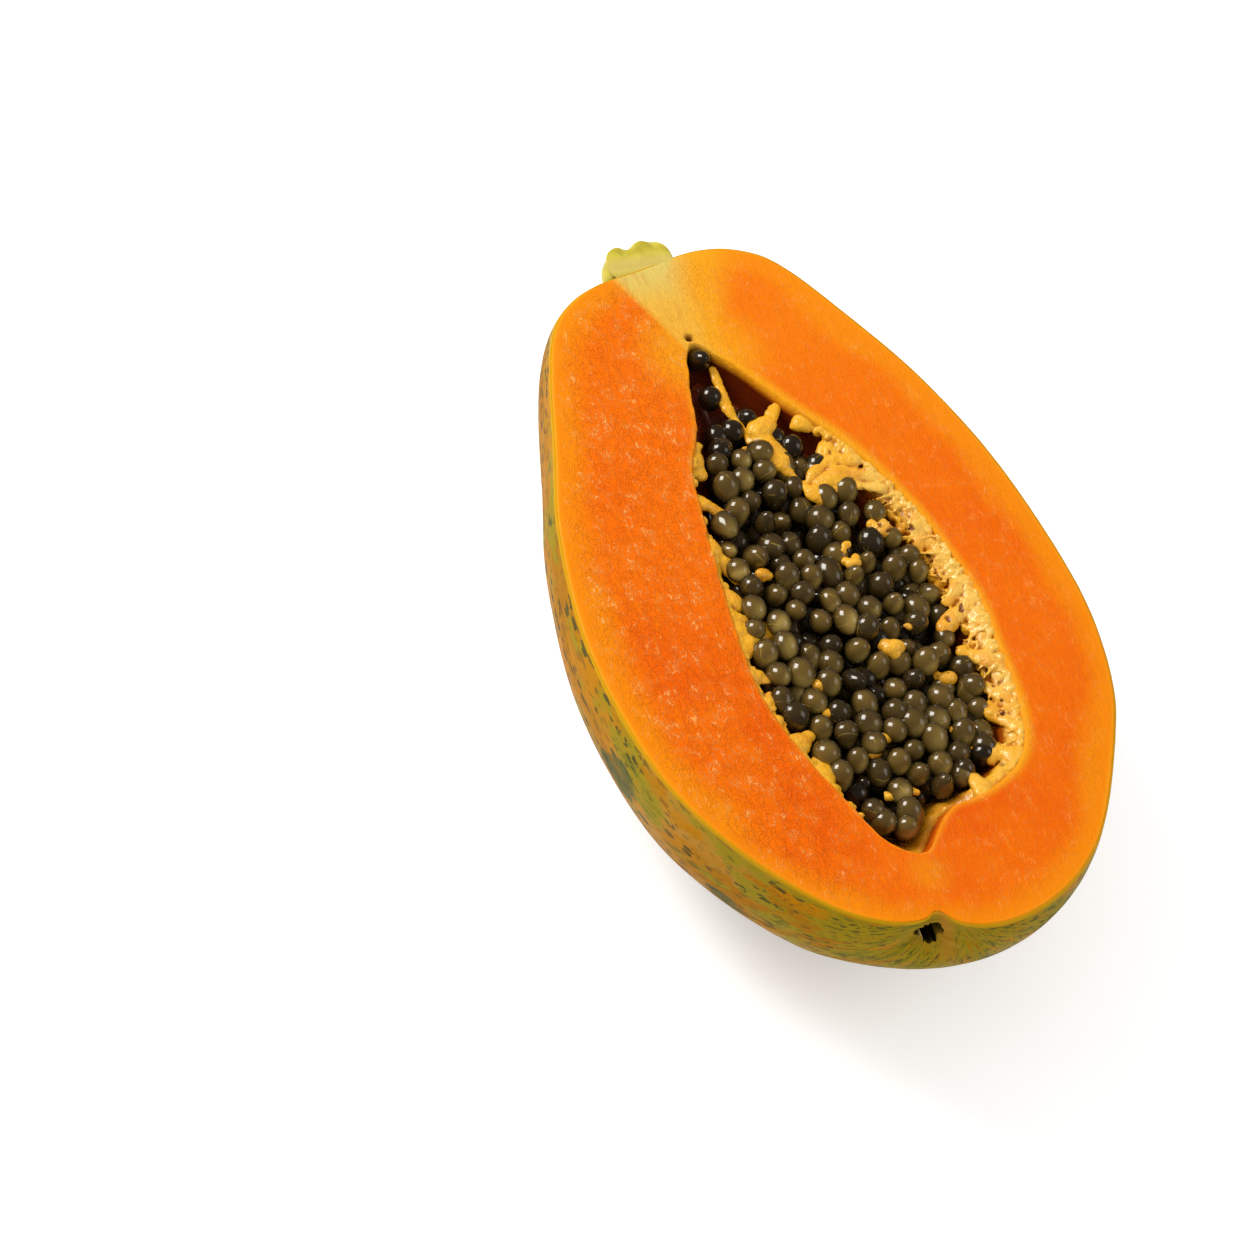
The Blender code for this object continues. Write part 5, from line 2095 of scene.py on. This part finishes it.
@dataclass
class Stem:
    """The stub of the stem: a lobed knob with a softly rounded top."""

    form: FruitForm
    centre_y: float = 99.0 * MM
    radius: float = 9.2 * MM
    half_height: float = 5.7 * MM
    lobes: int = 5
    relief: float = 0.09
    slant: float = 0.12
    around: int = 160
    rings: int = 84
    boxiness: float = 0.55
    crown: float = 0.8 * MM
    shoulder: float = 1.8 * MM
    dip_depth: float = 1.2 * MM
    flush_height: float = 0.05 * MM
    front_sunk: float = 0.35 * MM
    skin_relief: float = 0.12 * MM
    last_y: float = 104.7 * MM

    def dip(self, across: Array | float) -> Array | float:
        """How far the knob's end draws back between its two lobes, at this place across it."""
        return self.dip_depth * np.exp(-((across / self.radius + 0.12) / 0.22) ** 2)

    def rounded(self, ring: Array) -> Array:
        """The ring with its top pressed into a low dome just over the cut.

        Args:
            ring: the ring, which is changed.

        Returns:
            The same ring.
        """
        x = (ring[:, 0] - self.form.stem_place[0]) / self.radius
        y = (ring[:, 1] - self.centre_y) / self.half_height
        over = np.clip(ring[:, 2] - CUT_HEIGHT + self.shoulder, 0, None)
        room = self.shoulder + self.crown
        low = np.minimum(ring[:, 2], CUT_HEIGHT - self.shoulder)
        ring[:, 2] = low + room * (1 - np.exp(-over / room))
        dip = 0.8 * np.exp(-(((x + 0.15) / 0.22) ** 2)) + 0.5 * np.exp(-(((x - 0.62) / 0.16) ** 2))
        ring[:, 2] -= MM * dip * smooth_step(y + 0.3) * smooth_step(over / self.shoulder)
        flush = smooth_step(0.3 - 1.6 * y) * smooth_step(over / self.shoulder - 0.2)
        sunk = self.front_sunk * smooth_step(-0.35 - 2.0 * y)
        ring[:, 2] += flush * (CUT_HEIGHT + self.flush_height - sunk - ring[:, 2])
        return ring

    def build(self, finish: StemFinish) -> None:
        """Builds the knob and dresses it.

        Args:
            finish: its finish.
        """
        x, z = self.form.stem_place
        turn = np.linspace(0, TAU, self.around, endpoint=False)
        rings = []
        for k in range(1, self.rings):
            tilt = math.pi * k / self.rings
            lobe = 1 + self.relief * np.cos(self.lobes * turn)
            lobe -= 0.05 * np.exp(-((np.cos(self.lobes * turn / 2)) / 0.28) ** 2)
            reach = self.radius * lobe * math.sin(tilt) ** self.boxiness
            across, up = reach * np.cos(turn), reach * np.sin(turn)
            along = -self.half_height * math.cos(tilt) + self.slant * across
            along -= self.dip(across) * smooth_step(4 * (k / self.rings - 0.5))
            ring = np.column_stack([x + across, self.centre_y + along, z + up])
            ring += self.skin_relief * rough(ring, 3 * MM, 99)[:, None] * np.array([1, 0.4, 1])
            ring[:, 1] = np.minimum(ring[:, 1], self.last_y)
            rings.append(self.rounded(ring))
        near, far = self.centre_y - self.half_height, self.centre_y + self.half_height - self.dip(0.0)
        piece = ring_piece("stem_knob", rings, ((x, near, z), (x, far, z)), self.masks)
        facing_out = Vector(piece.data.polygons[0].normal).dot(Vector((0, -1, 0))) > 0
        if not facing_out:
            piece.data.flip_normals()
        set_in_frame(piece, finish.material(), "stem", "stem")

    def masks(self, points: Array) -> Masks:
        """The masks that the stem's finish reads.

        Args:
            points: the piece's points.

        Returns:
            The masks by name, each with a value for every point.
        """
        x, z = self.form.stem_place
        turned = np.arctan2(points[:, 2] - z, points[:, 0] - x)
        out = np.hypot(points[:, 0] - x, points[:, 2] - z) / self.radius
        # Painted shade between the lobes and at the front, where the knob sinks into the flesh.
        between = np.exp(-((np.cos(self.lobes * turned / 2)) / 0.16) ** 2) * smooth_step(out * 3 - 1.6)
        low = smooth_step((97.0 * MM - points[:, 1]) / (2.5 * MM))
        level = smooth_step((points[:, 2] - CUT_HEIGHT + 0.6 * MM) / (0.5 * MM))
        cream = level * smooth_step((99.5 * MM - points[:, 1]) / (4 * MM) + 0.5)
        return {"cream": cream, "painted_crease_shade": np.clip(0.5 * between + 0.6 * low, 0, 1) * (1 - level)}


@dataclass(frozen=True)
class Softbox:
    """A square soft light: its direction and distance from what it is aimed at, its side and watts."""

    name: str
    direction: tuple[float, float, float]
    distance: float
    size: float
    power: float

    def build(self, target: Sequence[float]) -> None:
        """Sets up the light.

        Args:
            target: the place that it is aimed at.
        """
        data = bpy.data.lights.new(self.name, "AREA")
        data.shape = "SQUARE"
        data.size = self.size
        data.energy = self.power
        lamp = bpy.data.objects.new(self.name, data)
        bpy.context.scene.collection.objects.link(lamp)
        towards = Vector(self.direction).normalized()
        lamp.location = Vector(target) + towards * self.distance
        lamp.rotation_euler = towards.to_track_quat("Z", "Y").to_euler()


@dataclass
class Studio:
    """A plain pale floor, soft light from the upper left and the camera."""

    place: tuple = (-0.404485, -0.476446, 0.781945)
    right: tuple = (0.91211, -0.34566, 0.22039)
    up: tuple = (0.15779, 0.79223, 0.58947)
    lens: float = 114.55
    sensor: float = 36.0
    near: float = 0.01
    far: float = 20.0
    floor_size: float = 6.0
    target: tuple = (0.0, 0.0, 0.05)
    softboxes: tuple[Softbox, ...] = (
        Softbox("key", (-0.53, 0.61, 0.58), 1.3, 0.62, 16.0),
        Softbox("fill", (0.75, -0.35, 0.75), 1.5, 0.8, 3.0),
    )
    world_light: float = 0.80
    world_gloss: float = 0.11

    def surroundings(self) -> None:
        """An even pale sky, dimmer in reflections so that dark seeds stay dark."""
        world = bpy.data.worlds.new("studio")
        bpy.context.scene.world = world
        world.use_nodes = True
        wires = Wiring(world.node_tree)
        glossy = wires.node("LightPath").outputs["Is Glossy Ray"]
        level = wires.plus(wires.times(glossy, self.world_gloss - self.world_light), self.world_light)
        background = world.node_tree.nodes["Background"]
        background.inputs["Color"].default_value = (1.0, 1.0, 1.0, 1.0)
        wires.put(background.inputs["Strength"], level)

    def floor(self) -> None:
        """The floor."""
        half = self.floor_size / 2
        corners = np.array([(-half, -half, 0), (half, -half, 0), (half, half, 0), (-half, half, 0)])
        ground = mesh_piece("floor", corners, [[0, 1, 2, 3]], {})
        ground.data.materials.append(FloorFinish().material())

    def camera(self) -> None:
        """The camera, at the photograph's viewing angle."""
        data = bpy.data.cameras.new("camera")
        data.lens = self.lens
        data.sensor_width = self.sensor
        data.clip_start = self.near
        data.clip_end = self.far
        camera = bpy.data.objects.new("camera", data)
        bpy.context.scene.collection.objects.link(camera)
        back = Vector(self.right).cross(Vector(self.up))
        axes = Matrix((self.right, self.up, back)).transposed()
        camera.matrix_world = Matrix.Translation(self.place) @ axes.to_4x4()
        bpy.context.scene.camera = camera

    def build(self) -> None:
        """Sets up the whole studio."""
        bpy.context.scene.view_settings.view_transform = "Standard"
        self.camera()
        self.surroundings()
        self.floor()
        for softbox in self.softboxes:
            softbox.build(self.target)


def main() -> None:
    """Builds every piece in order."""
    logging.basicConfig(level=logging.INFO, format="%(name)s %(message)s")
    Studio().build()
    form = FruitForm()
    Flesh(form).build(FleshFinish())
    Rind(form).build(RindFinish())
    PulpLining(form).build(PulpFinish())
    SeedHeap(form).build(SeedFinish())
    PulpThreads(form).build(PulpFinish(name="papaya_pulp_threads"))
    Stem(form).build(StemFinish())


if __name__ == "__main__":
    main()
